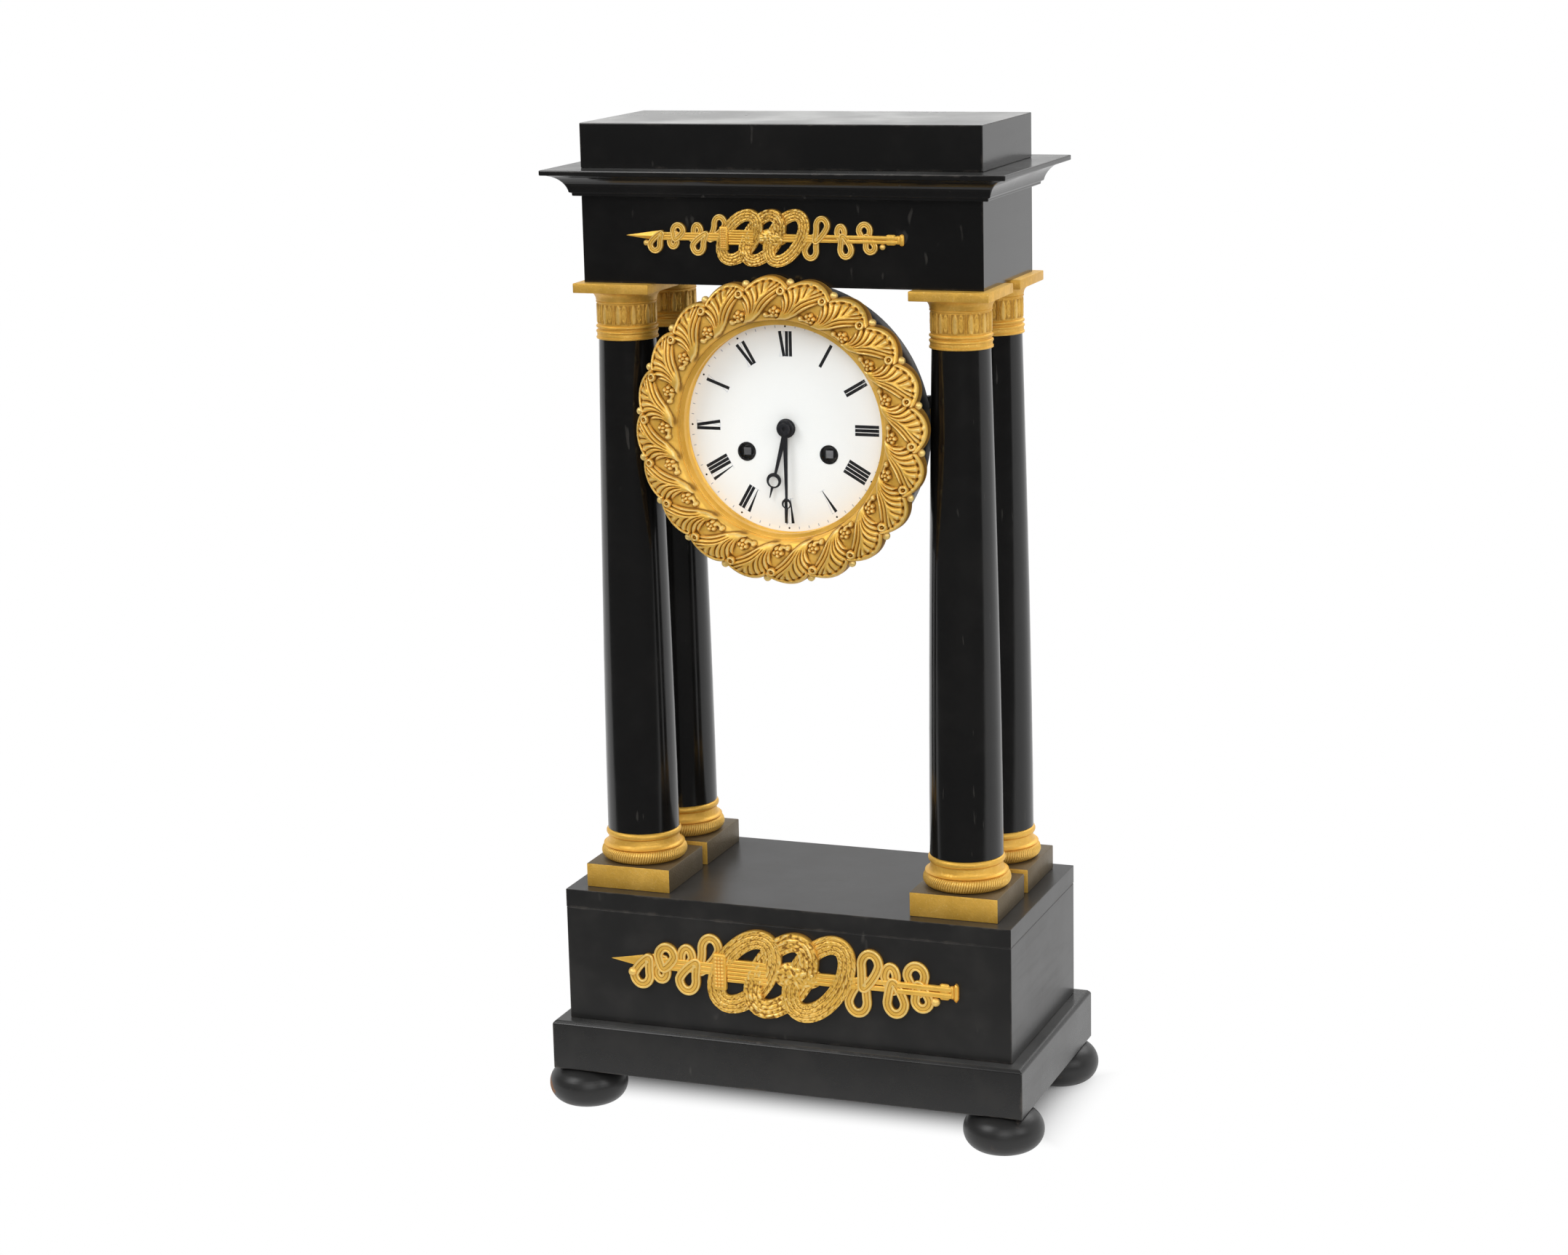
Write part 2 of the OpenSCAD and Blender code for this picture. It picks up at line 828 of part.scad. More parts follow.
module bezel_hinge_pin() {
    color(brass)
    translate([hinge_x, hinge_y, dial_z - hinge_l / 2])
        cylinder(h = hinge_l, r = hinge_pin_r);
}

module dial() {
    color(enamel)
    at_arbor(centre_at)
        difference() {
            bar(dial_y, dial_t, sight_r + 4);
            bar(dial_y - 1, dial_t + 2, hour_pipe_r + 0.8);
            for (p = [going_at, strike_at])
                translate([p.x, 0, p.y])
                    bar(dial_y - 1, dial_t + 2, winding_hole_r);
        }
}

module winding_grommets() {
    wall = 0.6;
    color(brass)
    for (p = [going_at, strike_at])
        at_arbor(p)
            difference() {
                bar(dial_y - 0.3, dial_t + 0.3, winding_hole_r - 0.05);
                bar(dial_y - 1, dial_t + 2, winding_hole_r - wall);
            }
}

module dial_plate() {
    foot_r = 1.5;
    feet = [70, 190, 310];
    color(brass)
    at_arbor(centre_at)
        difference() {
            union() {
                bar(dial_y + dial_t, dial_plate_t, sight_r + 5);
                for (a = feet)
                    translate([polar(38, a).x, 0, polar(38, a).y])
                        bar(dial_y + dial_t, plate_y - dial_y - dial_t, foot_r);
            }
            bar(dial_y - 1, 6, hour_pipe_r + 0.8);
            for (p = [going_at, strike_at])
                translate([p.x, 0, p.y])
                    bar(dial_y - 1, 6, winding_hole_r);
        }
}

// Moon hand pointing up, from y: boss, tapered stem, pierced disc and point
module moon_hand(y, l, disc_at, disc_r, boss_r, hole_r) {
    difference() {
        union() {
            bar(y, hand_t, boss_r);
            upright(y, hand_t)
                polygon([[-boss_r * 0.3, 0], [-0.55, disc_at], [0.55, disc_at], [boss_r * 0.3, 0]]);
            translate([0, 0, disc_at])
                bar(y, hand_t, disc_r);
            upright(y, hand_t)
                polygon([[-0.9, disc_at], [-0.15, l], [0.15, l], [0.9, disc_at]]);
        }
        translate([0, 0, disc_at + disc_r * 0.15])
            bar(y - 1, hand_t + 2, disc_r * 0.66);
        bar(y - 1, hand_t + 2, hole_r);
    }
}

// The hands stand at half past six
minute_turn = 180;
hour_turn = 195;

module hour_hand() {
    color(steel)
    translate([0, 0, dial_z])
        rotate([0, hour_turn, 0])
            moon_hand(hour_hand_y, hour_hand_l, hour_hand_l * 0.75, 3.65, 4.6, hour_pipe_r + 0.02);
}

module minute_hand() {
    color(steel)
    translate([0, 0, dial_z])
        rotate([0, minute_turn, 0])
            moon_hand(minute_hand_y, minute_hand_l, minute_hand_l * 0.785, 2.4, 4.2, pipe_r + 0.02);
}

module hand_nut() {
    color(steel)
    at_arbor(centre_at)
        difference() {
            bar(minute_hand_y - 1.4, 1.4, 3);
            bar(minute_hand_y - 2, 3, cannon_r + play);
        }
}

// Pinion that carries the minute hand on a pipe
module cannon_pinion() {
    color(steel)
    at_arbor(centre_at)
        difference() {
            union() {
                bar(minute_hand_y, motion_y - minute_hand_y + 1.2, pipe_r);
                upright(motion_y, 1.7)
                    toothed(cannon_teeth, motion_m, 90, 0);
            }
            bar(minute_hand_y - 1, 20, cannon_r + play);
        }
}

module minute_wheel() {
    color(brass)
    at_arbor(minute_at)
        difference() {
            union() {
                upright(motion_y + 0.3, 1)
                    toothed(minute_teeth, motion_m, 270 + 180 / minute_teeth, 4);
                upright(motion_y - 2.6, 2.9)
                    toothed(minute_leaves, hour_m, 270, 0);
            }
            bar(motion_y - 4, 8, arbor_r + play);
        }
}

module hour_wheel() {
    color(brass)
    at_arbor(centre_at)
        difference() {
            union() {
                upright(motion_y - 2, 1)
                    toothed(hour_teeth, hour_m, 90 + 180 / hour_teeth, 4);
                bar(hour_hand_y, motion_y - 1 - hour_hand_y, hour_pipe_r);
            }
            bar(hour_hand_y - 1, 20, pipe_r + play);
        }
}

// Places of the arbors that turn in plain pivot holes
pivots = [feed_at, third_at, escape_at, second_at, pin_at, lock_at, fly_at, hammer_at];

// Places of the posts that the clicks turn on
click_posts = [going_at + polar(click_out, click_turn), strike_at + polar(click_out, 180 - click_turn)];

module plate_holes(y) {
    for (p = pivots)
        translate([p.x, 0, p.y])
            bar(y - 1, plate_t + 2, pivot_r + play);
}

module front_plate() {
    post_l = 2.4;
    color(brass)
    at_arbor(centre_at)
        difference() {
            union() {
                bar(plate_y, plate_t, plate_r);
                for (p = click_posts)
                    translate([p.x, 0, p.y])
                        bar(plate_y - post_l, post_l, arbor_r);
                translate([minute_at.x, 0, minute_at.y])
                    bar(motion_y - 3, plate_y - motion_y + 3, arbor_r);
            }
            plate_holes(plate_y);
            translate([anchor_at.x, 0, anchor_at.y])
                bar(plate_y - 1, plate_t + 2, pivot_r + play);
            bar(plate_y - 1, plate_t + 2, 1 + play);
            for (p = [going_at, strike_at])
                translate([p.x, 0, p.y])
                    bar(plate_y - 1, plate_t + 2, winding_r + play);
        }
}

module back_plate() {
    color(brass)
    at_arbor(centre_at)
        difference() {
            bar(back_y, plate_t, plate_r);
            for (p = concat(pivots, [centre_at]))
                translate([p.x, 0, p.y])
                    bar(back_y - 1, plate_t + 2, (p == second_at || p == hammer_at ? arbor_r : pivot_r) + play);
            translate([anchor_at.x, 0, anchor_at.y])
                bar(back_y - 1, plate_t + 2, 3);
            for (p = [going_at, strike_at])
                translate([p.x, 0, p.y])
                    bar(back_y - 1, plate_t + 2, 1.2 + play);
        }
}

module plate_pillars() {
    color(brass)
    at_arbor(centre_at)
        for (a = pillar_angles)
            translate([polar(pillar_ring, a).x, 0, polar(pillar_ring, a).y])
                turned()
                    difference() {
                        translate([0, inner_y])
                            square([2.6, plate_gap]);
                        translate([7.6, inner_y + plate_gap / 2])
                            circle(6);
                    }
}

// Long rods that clamp the rear ring to the black ring, beside the movement
module movement_rods() {
    strap_r = 1.6;
    color(brass)
    at_arbor(centre_at)
        for (s = [-1, 1])
            translate([s * (plate_r + drum_r - drum_wall) / 2, 0, 0])
                bar(drum_y, drum_end - drum_y, strap_r);
}

module barrel(phase) {
    barrel_wall = 1;
    difference() {
        union() {
            bar(barrel_y, barrel_h, barrel_r);
            upright(great_y, great_t)
                toothed(great_teeth, great_m, phase, 0);
        }
        bar(barrel_y - 1, barrel_h + 1, barrel_r - barrel_wall);
        bar(barrel_y, plate_gap, winding_r + play);
    }
}

module barrel_cap() {
    difference() {
        bar(barrel_y, 1, barrel_r - 1 - 0.02);
        bar(barrel_y - 1, 3, winding_r + play);
    }
}

// Coiled mainspring, wound outwards from the arbor to the barrel's wall
module mainspring() {
    turns = 6;
    steps = 30;
    strip = 0.5;
    r0 = winding_r + 2;
    r1 = barrel_r - 1.5;
    n = turns * steps;
    path = [for (i = [0:n]) [r0 + (r1 - r0) * i / n, i * 360 / steps]];
    upright(barrel_y + 1.6, barrel_h - 2.2)
        polygon(concat([for (p = path) polar(p[0], p[1])], [for (i = [n:-1:0]) polar(path[i][0] - strip, path[i][1])]));
}

// Winding arbor with its square and ratchet wheel
module winding_arbor(turn) {
    ratchet_teeth = 18;
    ratchet_low = 5.4;
    outline = [for (i = [0:ratchet_teeth - 1]) for (k = [0, 1])
        polar(k == 0 ? ratchet_r : ratchet_low, turn * (i + k * 0.15) * 360 / ratchet_teeth)];
    upright(plate_y - 2, 1.4)
        polygon(outline);
    bar(plate_y - 2, back_y - gap - plate_y + 2, winding_r);
    bar(back_y - 1, plate_t + 1, 1.2);
    translate([-square_w / 2, dial_y + 0.8, -square_w / 2])
        cube([square_w, plate_y - dial_y - 1.8, square_w]);
}

// Click on its post, with its nose just off the ratchet wheel
module click(post, hub, turn) {
    nose = hub + polar(ratchet_r + gap, angle_of(hub, post) + turn * 42);
    way = (nose - post) / norm(nose - post);
    side = [-way.y, way.x];
    y = plate_y - 1.9;
    t = 1.2;
    at_arbor([0, 0])
        difference() {
            union() {
                translate([post.x, 0, post.y])
                    bar(y, t, 2);
                upright(y, t)
                    polygon([post - 0.4 * way + 1.5 * side, nose, post - 0.4 * way - 1.5 * side]);
            }
            translate([post.x, 0, post.y])
                bar(y - 1, t + 2, arbor_r + play);
        }
}

module going_barrel() {
    color(brass)
    at_arbor(going_at)
        barrel(angle_of(going_at, feed_at));
}

module going_barrel_cap() {
    color(brass)
    at_arbor(going_at)
        barrel_cap();
}

module going_mainspring() {
    color(steel)
    at_arbor(going_at)
        mainspring();
}

module going_arbor() {
    color(steel)
    at_arbor(going_at)
        winding_arbor(1);
}

module going_click() {
    color(steel)
    click(click_posts[0], going_at, 1);
}

// Pinion on an arbor, in mesh with the wheel it is driven by
module pinion(n, m, from, at, y, l) {
    upright(y, l)
        toothed(n, m, angle_of(at, from) + 180 / n, 0);
}

module intermediate_wheel() {
    color(brass)
    at_arbor(feed_at) {
        arbor();
        pinion(first_pinion, great_m, going_at, feed_at, great_y - 0.6, great_t + 1.2);
        upright(feed_y, wheel_t)
            toothed(feed_teeth, feed_m, angle_of(feed_at, centre_at), 5);
    }
}

module centre_wheel() {
    color(brass)
    at_arbor(centre_at) {
        bar(inner_y - plate_t, plate_gap + plate_t - gap, 1);
        bar(minute_hand_y - 1.2, back_y - minute_hand_y, cannon_r);
        bar(back_y - 1, plate_t + 1, pivot_r);
        pinion(centre_pinion, feed_m, feed_at, centre_at, feed_y - 0.8, 2.6);
        upright(centre_y, wheel_t)
            toothed(centre_teeth, centre_m, angle_of(centre_at, third_at), 5);
    }
}

module third_wheel() {
    color(brass)
    at_arbor(third_at) {
        arbor();
        pinion(leaf_pinion, centre_m, centre_at, third_at, centre_y - 0.7, 2.2);
        upright(third_y, wheel_t)
            toothed(third_teeth, third_m, angle_of(third_at, escape_at), 4);
    }
}

module escape_wheel() {
    tooth = 2.2;
    outline = [for (i = [0:escape_teeth - 1]) for (k = [0, 1])
        polar(k == 0 ? escape_r : escape_r - tooth, (i + k * 0.3) * 360 / escape_teeth)];
    color(brass)
    at_arbor(escape_at) {
        arbor();
        pinion(leaf_pinion, third_m, third_at, escape_at, third_y - 1, 3);
        upright(escape_y, wheel_t)
            difference() {
                polygon(outline);
                difference() {
                    circle(escape_r - tooth - 1.2);
                    circle(2.2);
                    for (i = [0:3])
                        rotate(i * 90)
                            translate([0, -0.6])
                                square([escape_r - tooth, 1.2]);
                }
            }
    }
}

// Anchor over the escape wheel, with its arbor and the crutch behind the back plate
module anchor() {
    drop = anchor_at.y - escape_at.y;
    inner = escape_r + 0.5;
    outer = escape_r + 1.8;
    crutch_l = 46;
    fork_l = 8;
    color(steel)
    at_arbor(anchor_at) {
        bar(plate_y, plate_t + gap, pivot_r);
        bar(inner_y + gap, cock_y - inner_y - 2 * gap, arbor_r);
        bar(cock_y - gap - eps, cock_t + gap, pivot_r);
        upright(escape_y, wheel_t) {
            circle(2);
            translate([0, -drop])
                intersection() {
                    difference() {
                        circle(outer);
                        circle(inner);
                    }
                    polygon([[0, 0], polar(3 * outer, 40), polar(3 * outer, 140)]);
                }
            translate([-0.8, outer - drop - 0.5])
                square([1.6, drop - outer + 0.5]);
        }
        upright(crutch_y, 1.2) {
            circle(1.8);
            translate([-0.7, -crutch_l])
                square([1.4, crutch_l]);
            translate([-2.4, -crutch_l])
                square([4.8, 1.6]);
        }
        for (s = [-1, 1])
            translate([s * 1.9 - 0.5, crutch_y, -crutch_l])
                cube([1, fork_l, 1.6]);
    }
}

// Bridge behind the back plate that carries the anchor's rear pivot and the suspension
module back_cock() {
    span = 20;
    foot_w = 5;
    high = 9;
    color(brass)
    at_arbor(anchor_at)
        difference() {
            union() {
                translate([-span / 2, cock_y, -high / 2])
                    cube([span, cock_t, high]);
                for (s = [-1, 1])
                    translate([s * (span - foot_w) / 2 - foot_w / 2, rear_y, -high / 2])
                        cube([foot_w, cock_y - rear_y + eps, high]);
            }
            bar(cock_y - 1, cock_t + 2, pivot_r + play);
        }
}

// Suspension block, spring and the hook that takes the pendulum
module suspension() {
    spring_l = 14;
    hook_l = 9;
    color(brass)
    at_arbor(anchor_at + [0, -3.4]) {
        translate([-3, cock_y + cock_t, -2])
            cube([6, rod_y - cock_y - cock_t + 1.2, 4]);
        translate([-2, rod_y - 0.1, -spring_l])
            cube([4, 0.2, spring_l - 1]);
        difference() {
            translate([-2.2, rod_y - 0.9, -spring_l - hook_l])
                cube([4.4, 1.8, hook_l + 1]);
            translate([0, rod_y - 2, -spring_l - hook_l + 3.4])
                rotate([-90, 0, 0])
                    cylinder(h = 4, r = 1.1, $fn = 24);
        }
    }
}

module strike_barrel() {
    color(brass)
    at_arbor(strike_at)
        barrel(angle_of(strike_at, second_at));
}

module strike_barrel_cap() {
    color(brass)
    at_arbor(strike_at)
        barrel_cap();
}

module strike_mainspring() {
    color(steel)
    at_arbor(strike_at)
        mainspring();
}

module strike_arbor() {
    color(steel)
    at_arbor(strike_at)
        winding_arbor(-1);
}

module strike_click() {
    color(steel)
    click(click_posts[1], strike_at, -1);
}

// Second wheel of the strike, with the notched count wheel on its rear end
module second_wheel() {
    count_r = 11.6;
    notch = 1.8;
    // Running sum of the blows, one stretch of the rim for each hour
    sums = [0, 1, 3, 6, 10, 15, 21, 28, 36, 45, 55, 66];
    total = 78;
    color(brass)
    at_arbor(second_at) {
        arbor();
        bar(back_y - gap - eps, plate_t + 2.5, arbor_r);
        pinion(first_pinion, great_m, strike_at, second_at, great_y - 0.6, great_t + 1.2);
        upright(feed_y, wheel_t)
            toothed(second_teeth, strike_m, angle_of(second_at, pin_at), 5);
        upright(rear_y + 0.9, 1.2)
            difference() {
                circle(count_r);
                for (s = sums)
                    rotate(s * 360 / total)
                        translate([count_r - notch, -0.6])
                            square([notch + 1, 1.2]);
            }
    }
}

module pin_wheel() {
    pins = 10;
    pin_l = 2;
    color(brass)
    at_arbor(pin_at) {
        arbor();
        pinion(leaf_pinion, strike_m, second_at, pin_at, feed_y - 0.8, 2.6);
        upright(pin_y, wheel_t)
            toothed(pin_teeth, pin_m, angle_of(pin_at, lock_at), 0);
        for (i = [0:pins - 1])
            translate([polar(6.4, i * 360 / pins).x, 0, polar(6.4, i * 360 / pins).y])
                bar(pin_y - pin_l, pin_l + eps, 0.45);
    }
}

module locking_wheel() {
    color(brass)
    at_arbor(lock_at) {
        arbor();
        pinion(leaf_pinion, pin_m, pin_at, lock_at, pin_y - 0.8, 2.6);
        upright(lock_y, wheel_t)
            toothed(lock_teeth, lock_m, angle_of(lock_at, fly_at), 4);
    }
}

module fly() {
    vane_w = 12.6;
    vane_l = 9;
    color(steel)
    at_arbor(fly_at) {
        arbor();
        pinion(leaf_pinion, lock_m, lock_at, fly_at, lock_y - 0.7, 2.6);
        translate([-vane_w / 2, inner_y + 8, -0.3])
            cube([vane_w, vane_l, 0.6]);
        bar(inner_y + 7.5, vane_l + 1, 1.4);
    }
}

// Hammer on its arbor, resting just off the bell's rim
module hammer() {
    head_r = 2.2;
    rest = 0.6;
    head = bell_at + [1, bell_r + rest + head_r] - hammer_at;
    way = head / norm(head);
    side = 0.8 * [-way.y, way.x];
    color(steel)
    at_arbor(hammer_at) {
        arbor();
        bar(back_y - gap - eps, bell_y - back_y + 5, arbor_r);
        upright(bell_y + 2.6, 1.4) {
            circle(1.7);
            polygon([side, head + side, head - side, -side]);
        }
        translate([head.x, 0, head.y])
            bar(bell_y + 1, 5, head_r);
    }
}

module bell() {
    depth = 8.4;
    wall = 1.2;
    dome = 4;
    color(brass)
    at_arbor(bell_at)
        turned()
            difference() {
                union() {
                    translate([0, bell_y])
                        square([bell_r, depth - dome]);
                    translate([0, bell_y])
                        square([bell_r - dome, depth]);
                    translate([bell_r - dome, bell_y + depth - dome])
                        circle(dome);
                }
                translate([-1, bell_y - 1])
                    square([1 + bell_r - wall, depth - dome + 1]);
                translate([-1, bell_y - 1])
                    square([1 + bell_r - dome, depth - wall + 1]);
                translate([bell_r - dome, bell_y + depth - dome])
                    circle(dome - wall);
                translate([-1, bell_y])
                    square([1 + 1.4, depth + 1]);
            }
}

module bell_stand() {
    depth = 8.4;
    color(brass)
    at_arbor(bell_at) {
        bar(rear_y, bell_y + depth - 1.2 - rear_y, 2.4);
        bar(rear_y, bell_y + depth + 1.6 - rear_y, 1.35);
        bar(bell_y + depth, 1.6, 2.6);
    }
}

bun_feet();
plinth();
base_box();
base_top_board();
base_ornament();
column_bases();
column_shafts();
column_capitals();
tie_rods();
frieze_box();
frieze_ornament();
cornice();
attic();
backing_ring();
drum();
rear_ring();
back_door();
back_hinge_pin();
bezel();
sight_ring();
bezel_glass();
bezel_hinge_pin();
dial();
winding_grommets();
dial_plate();
hour_hand();
minute_hand();
hand_nut();
cannon_pinion();
minute_wheel();
hour_wheel();
front_plate();
back_plate();
plate_pillars();
movement_rods();
going_barrel();
going_barrel_cap();
going_mainspring();
going_arbor();
going_click();
intermediate_wheel();
centre_wheel();
third_wheel();
escape_wheel();
anchor();
back_cock();
suspension();
strike_barrel();
strike_barrel_cap();
strike_mainspring();
strike_arbor();
strike_click();
second_wheel();
pin_wheel();
locking_wheel();
fly();
hammer();
bell();
bell_stand();
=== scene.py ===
"""Portico clock: lacquer, gilding, carving, dial and stage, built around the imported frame."""

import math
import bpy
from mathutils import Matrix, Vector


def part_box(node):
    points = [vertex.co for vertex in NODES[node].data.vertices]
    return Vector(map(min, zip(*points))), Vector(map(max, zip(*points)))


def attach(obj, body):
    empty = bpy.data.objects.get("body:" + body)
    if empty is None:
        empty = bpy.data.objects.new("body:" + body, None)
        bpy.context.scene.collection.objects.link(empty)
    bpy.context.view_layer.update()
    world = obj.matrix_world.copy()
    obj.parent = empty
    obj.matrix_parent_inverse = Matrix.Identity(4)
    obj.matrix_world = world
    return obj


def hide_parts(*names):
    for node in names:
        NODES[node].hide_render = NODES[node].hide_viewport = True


bl_info = {
    "name": "Portico clock",
    "version": (1, 0, 0),
    "blender": (4, 5, 0),
    "location": "3D View > Sidebar > Clock",
    "description": "Dresses the frame of a portico clock with its finishes and carved pieces",
    "category": "Object",
}

import bmesh
import bpy
import numpy as np
from mathutils import Matrix, Vector, noise

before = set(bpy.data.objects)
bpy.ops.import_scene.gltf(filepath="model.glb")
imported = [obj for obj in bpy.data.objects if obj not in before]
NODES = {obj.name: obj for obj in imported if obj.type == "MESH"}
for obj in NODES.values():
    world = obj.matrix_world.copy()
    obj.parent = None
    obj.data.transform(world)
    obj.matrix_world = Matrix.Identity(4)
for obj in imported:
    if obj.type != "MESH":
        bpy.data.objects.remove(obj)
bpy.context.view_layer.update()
MM = 0.001

BOXES = {name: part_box(name) for name in NODES}
DIAL_LOW, DIAL_HIGH = BOXES["dial"]
DIAL_Z = (DIAL_LOW.z + DIAL_HIGH.z) / 2 / MM
DIAL_FRONT = DIAL_LOW.y / MM
COLUMN_PLACES = [(x, y) for x in (-83.6, 83.6) for y in (-25.0, 25.0)]


class Wire:
    """A shader socket that takes part in sums."""

    def __init__(self, shade, socket):
        self.shade = shade
        self.socket = socket

    def __add__(self, other):
        return self.shade.math("ADD", self, other)

    def __sub__(self, other):
        return self.shade.math("SUBTRACT", self, other)

    def __rsub__(self, other):
        return self.shade.math("SUBTRACT", other, self)

    def __mul__(self, other):
        return self.shade.math("MULTIPLY", self, other)

    def __abs__(self):
        return self.shade.math("ABSOLUTE", self)

    __radd__ = __add__
    __rmul__ = __mul__


class Shade:
    """A material, or the world, and the nodes that colour it."""

    def __init__(self, owner):
        self.owner = owner
        owner.use_nodes = True
        self.tree = owner.node_tree
        self.surface = self.tree.nodes.get("Principled BSDF")
        self.spot = None

    def node(self, kind, settings=None, sockets=None):
        """Adds a node, with its settings first and then the values or links of its sockets."""
        made = self.tree.nodes.new(kind)
        for name, value in (settings or {}).items():
            setattr(made, name, value)
        for name, value in (sockets or {}).items():
            self.join(made.inputs[name], value)
        return made

    def join(self, socket, value):
        """Links a wire to a socket, or sets the socket's own value."""
        if isinstance(value, Wire):
            self.tree.links.new(value.socket, socket)
        elif socket.type == "RGBA":
            socket.default_value = (*value, 1)
        else:
            socket.default_value = value

    def out(self, made, name=0):
        """An output of a node, by its name or number."""
        return Wire(self, made.outputs[name])

    def math(self, operation, first, second=0.0):
        return self.out(self.node("ShaderNodeMath", {"operation": operation}, {0: first, 1: second}))

    def least(self, first, second):
        return self.math("MINIMUM", first, second)

    def most(self, first, second):
        return self.math("MAXIMUM", first, second)

    def place(self):
        """Object coordinates, in metres in the clock's own frame."""
        if self.spot is None:
            self.spot = self.out(self.node("ShaderNodeTexCoord"), "Object")
        return self.spot

    def split(self, vector):
        """The three parts of a vector."""
        made = self.node("ShaderNodeSeparateXYZ", None, {0: vector})
        return [self.out(made, axis) for axis in "XYZ"]

    def axes(self):
        return self.split(self.place())

    def facing(self):
        """The three parts of the surface's normal."""
        return self.split(self.out(self.node("ShaderNodeNewGeometry"), "Normal"))

    def reach(self, first, second):
        """Distance from zero in two directions."""
        return self.math("SQRT", first * first + second * second)

    def from_axis(self):
        """Distance from the axis through the dial's middle."""
        across, _, up = self.axes()
        return self.reach(across, up - DIAL_Z * MM)

    def mapped(self, scale, turn=(0, 0, 0)):
        sockets = {"Vector": self.place(), "Scale": scale, "Rotation": turn}
        return self.out(self.node("ShaderNodeMapping", None, sockets))

    def noise(self, scale, detail, rough, vector=None):
        sockets = {"Vector": vector or self.place(), "Scale": scale, "Detail": detail, "Roughness": rough}
        return self.out(self.node("ShaderNodeTexNoise", None, sockets), "Fac")

    def patches(self, scale, detail, rough, low, high, start=0.0, end=1.0):
        """Noise pushed apart into patches, between two of its levels."""
        return self.ease(self.noise(scale, detail, rough), low, high, start, end)

    def ease(self, value, low, high, start=0.0, end=1.0):
        """A smooth step from start to end as value goes from low to high."""
        sockets = {"Value": value, 1: low, 2: high, 3: start, 4: end}
        return self.out(self.node("ShaderNodeMapRange", {"interpolation_type": "SMOOTHSTEP"}, sockets))

    def mix(self, factor, first, second):
        settings = {"data_type": "RGBA"}
        return self.out(self.node("ShaderNodeMix", settings, {0: factor, 6: first, 7: second}), 2)

    def attribute(self, name):
        return self.out(self.node("ShaderNodeAttribute", {"attribute_name": name}), "Fac")

    def bump(self, height, strength, distance):
        sockets = {"Height": height, "Strength": strength, "Distance": distance}
        return self.out(self.node("ShaderNodeBump", None, sockets), "Normal")

    def dress(self, **sockets):
        """Sets the surface's own sockets; an underscore stands for a space."""
        for name, value in sockets.items():
            self.join(self.surface.inputs[name.replace("_", " ")], value)
        return self.owner

    def overlay(self, factor, shader):
        """Shows another shader instead of the surface where the factor is 1."""
        both = self.node("ShaderNodeMixShader", None, {0: factor, 1: self.out(self.surface), 2: shader})
        self.tree.links.new(both.outputs[0], self.tree.nodes["Material Output"].inputs["Surface"])


def fresh(name):
    return Shade(bpy.data.materials.new(name))


def scaled(colour, *factors):
    """A colour with its channels times one factor, or times one each, and none above 1."""
    return tuple(min(1.0, channel * factor) for channel, factor in zip(colour, factors * 3))


def colour_property(name, description, value):
    return bpy.props.FloatVectorProperty(
        name=name, description=description, subtype="COLOR", size=3, min=0, max=1, default=value
    )


def length_property(name, description, value):
    return bpy.props.FloatProperty(
        name=name, description=description, subtype="DISTANCE", unit="LENGTH", min=0, default=value
    )


class ClockFinish(bpy.types.PropertyGroup):
    """Colours of the clock's finishes."""

    lacquer: colour_property("Lacquer", "Ebonised lacquer of the case", (0.0044, 0.0043, 0.0042))
    bare_wood: colour_property("Bare wood", "Wood that shows where the lacquer is worn", (0.19, 0.085, 0.035))
    gilding: colour_property("Gilding", "Matt gilding on the mounts", (0.86, 0.50, 0.078))
    # Darker gilding for dirt, and for painted shade in the hollows and on what does not face up
    gilding_dirt_and_shade: colour_property("Gilding in hollows", "Gilding where dirt lies", (0.24, 0.095, 0.008))
    bare_bronze: colour_property("Bare bronze", "Dark sides of the column blocks", (0.075, 0.066, 0.050))
    enamel: colour_property("Enamel", "White of the dial", (0.975, 0.978, 0.98))
    numeral: colour_property("Numerals", "Black of the hour strokes", (0.008, 0.008, 0.010))
    worn_numeral: colour_property("Worn strokes", "Hairlines and minute ticks", (0.36, 0.40, 0.52))
    brass: colour_property("Brass", "Plates and wheels", (0.72, 0.50, 0.20))
    steel: colour_property("Steel", "Arbors, pinions and springs", (0.42, 0.42, 0.43))
    hands: colour_property("Hands", "Dark blued hands", (0.010, 0.010, 0.013))


class ClockCarving(bpy.types.PropertyGroup):
    """Sizes of the carved pieces."""

    edge: length_property("Softened edge", "Width of the worn edges of the case", 0.0005)
    leaf: length_property("Leaf height", "How far the bezel's leaves stand proud", 0.0024)
    bead: length_property("Bead", "Radius of the beads between the lobes", 0.00195)
    mount: length_property("Mount", "Thickness of the ribbons of the gilt mount on the base", 0.0015)


class ClockStage(bpy.types.PropertyGroup):
    """Studio around the clock."""

    floor: colour_property("Floor", "Pale floor", (0.86, 0.86, 0.86))
    key: bpy.props.FloatProperty(name="Key light", description="Power of the key lamp", default=23.0)
    sky: bpy.props.FloatProperty(name="Sky", description="Strength of the soft light all round", default=0.76)


FINISHES = {}
RUBBED = (0.085, 0.072, 0.060)
SCRATCHED = (0.06, 0.056, 0.05)
# Pale grey of dust and of a painted sheen on what faces up
DUST_AND_SHEEN = (0.52, 0.52, 0.51)
# Pale gold of burnish and of a painted highlight on what stands proud
BURNISH_AND_HIGHLIGHT = (1.0, 0.80, 0.34)
GLINT = (1.0, 0.78, 0.30)
ENAMEL_MARKS = (0.66, 0.65, 0.62)
WORN_FOOT = (0.055, 0.042, 0.034)
DARK_STEEL = (0.06, 0.06, 0.065)
BELL_METAL = (0.66, 0.50, 0.24)
RING_BLACK = (0.010, 0.009, 0.009)
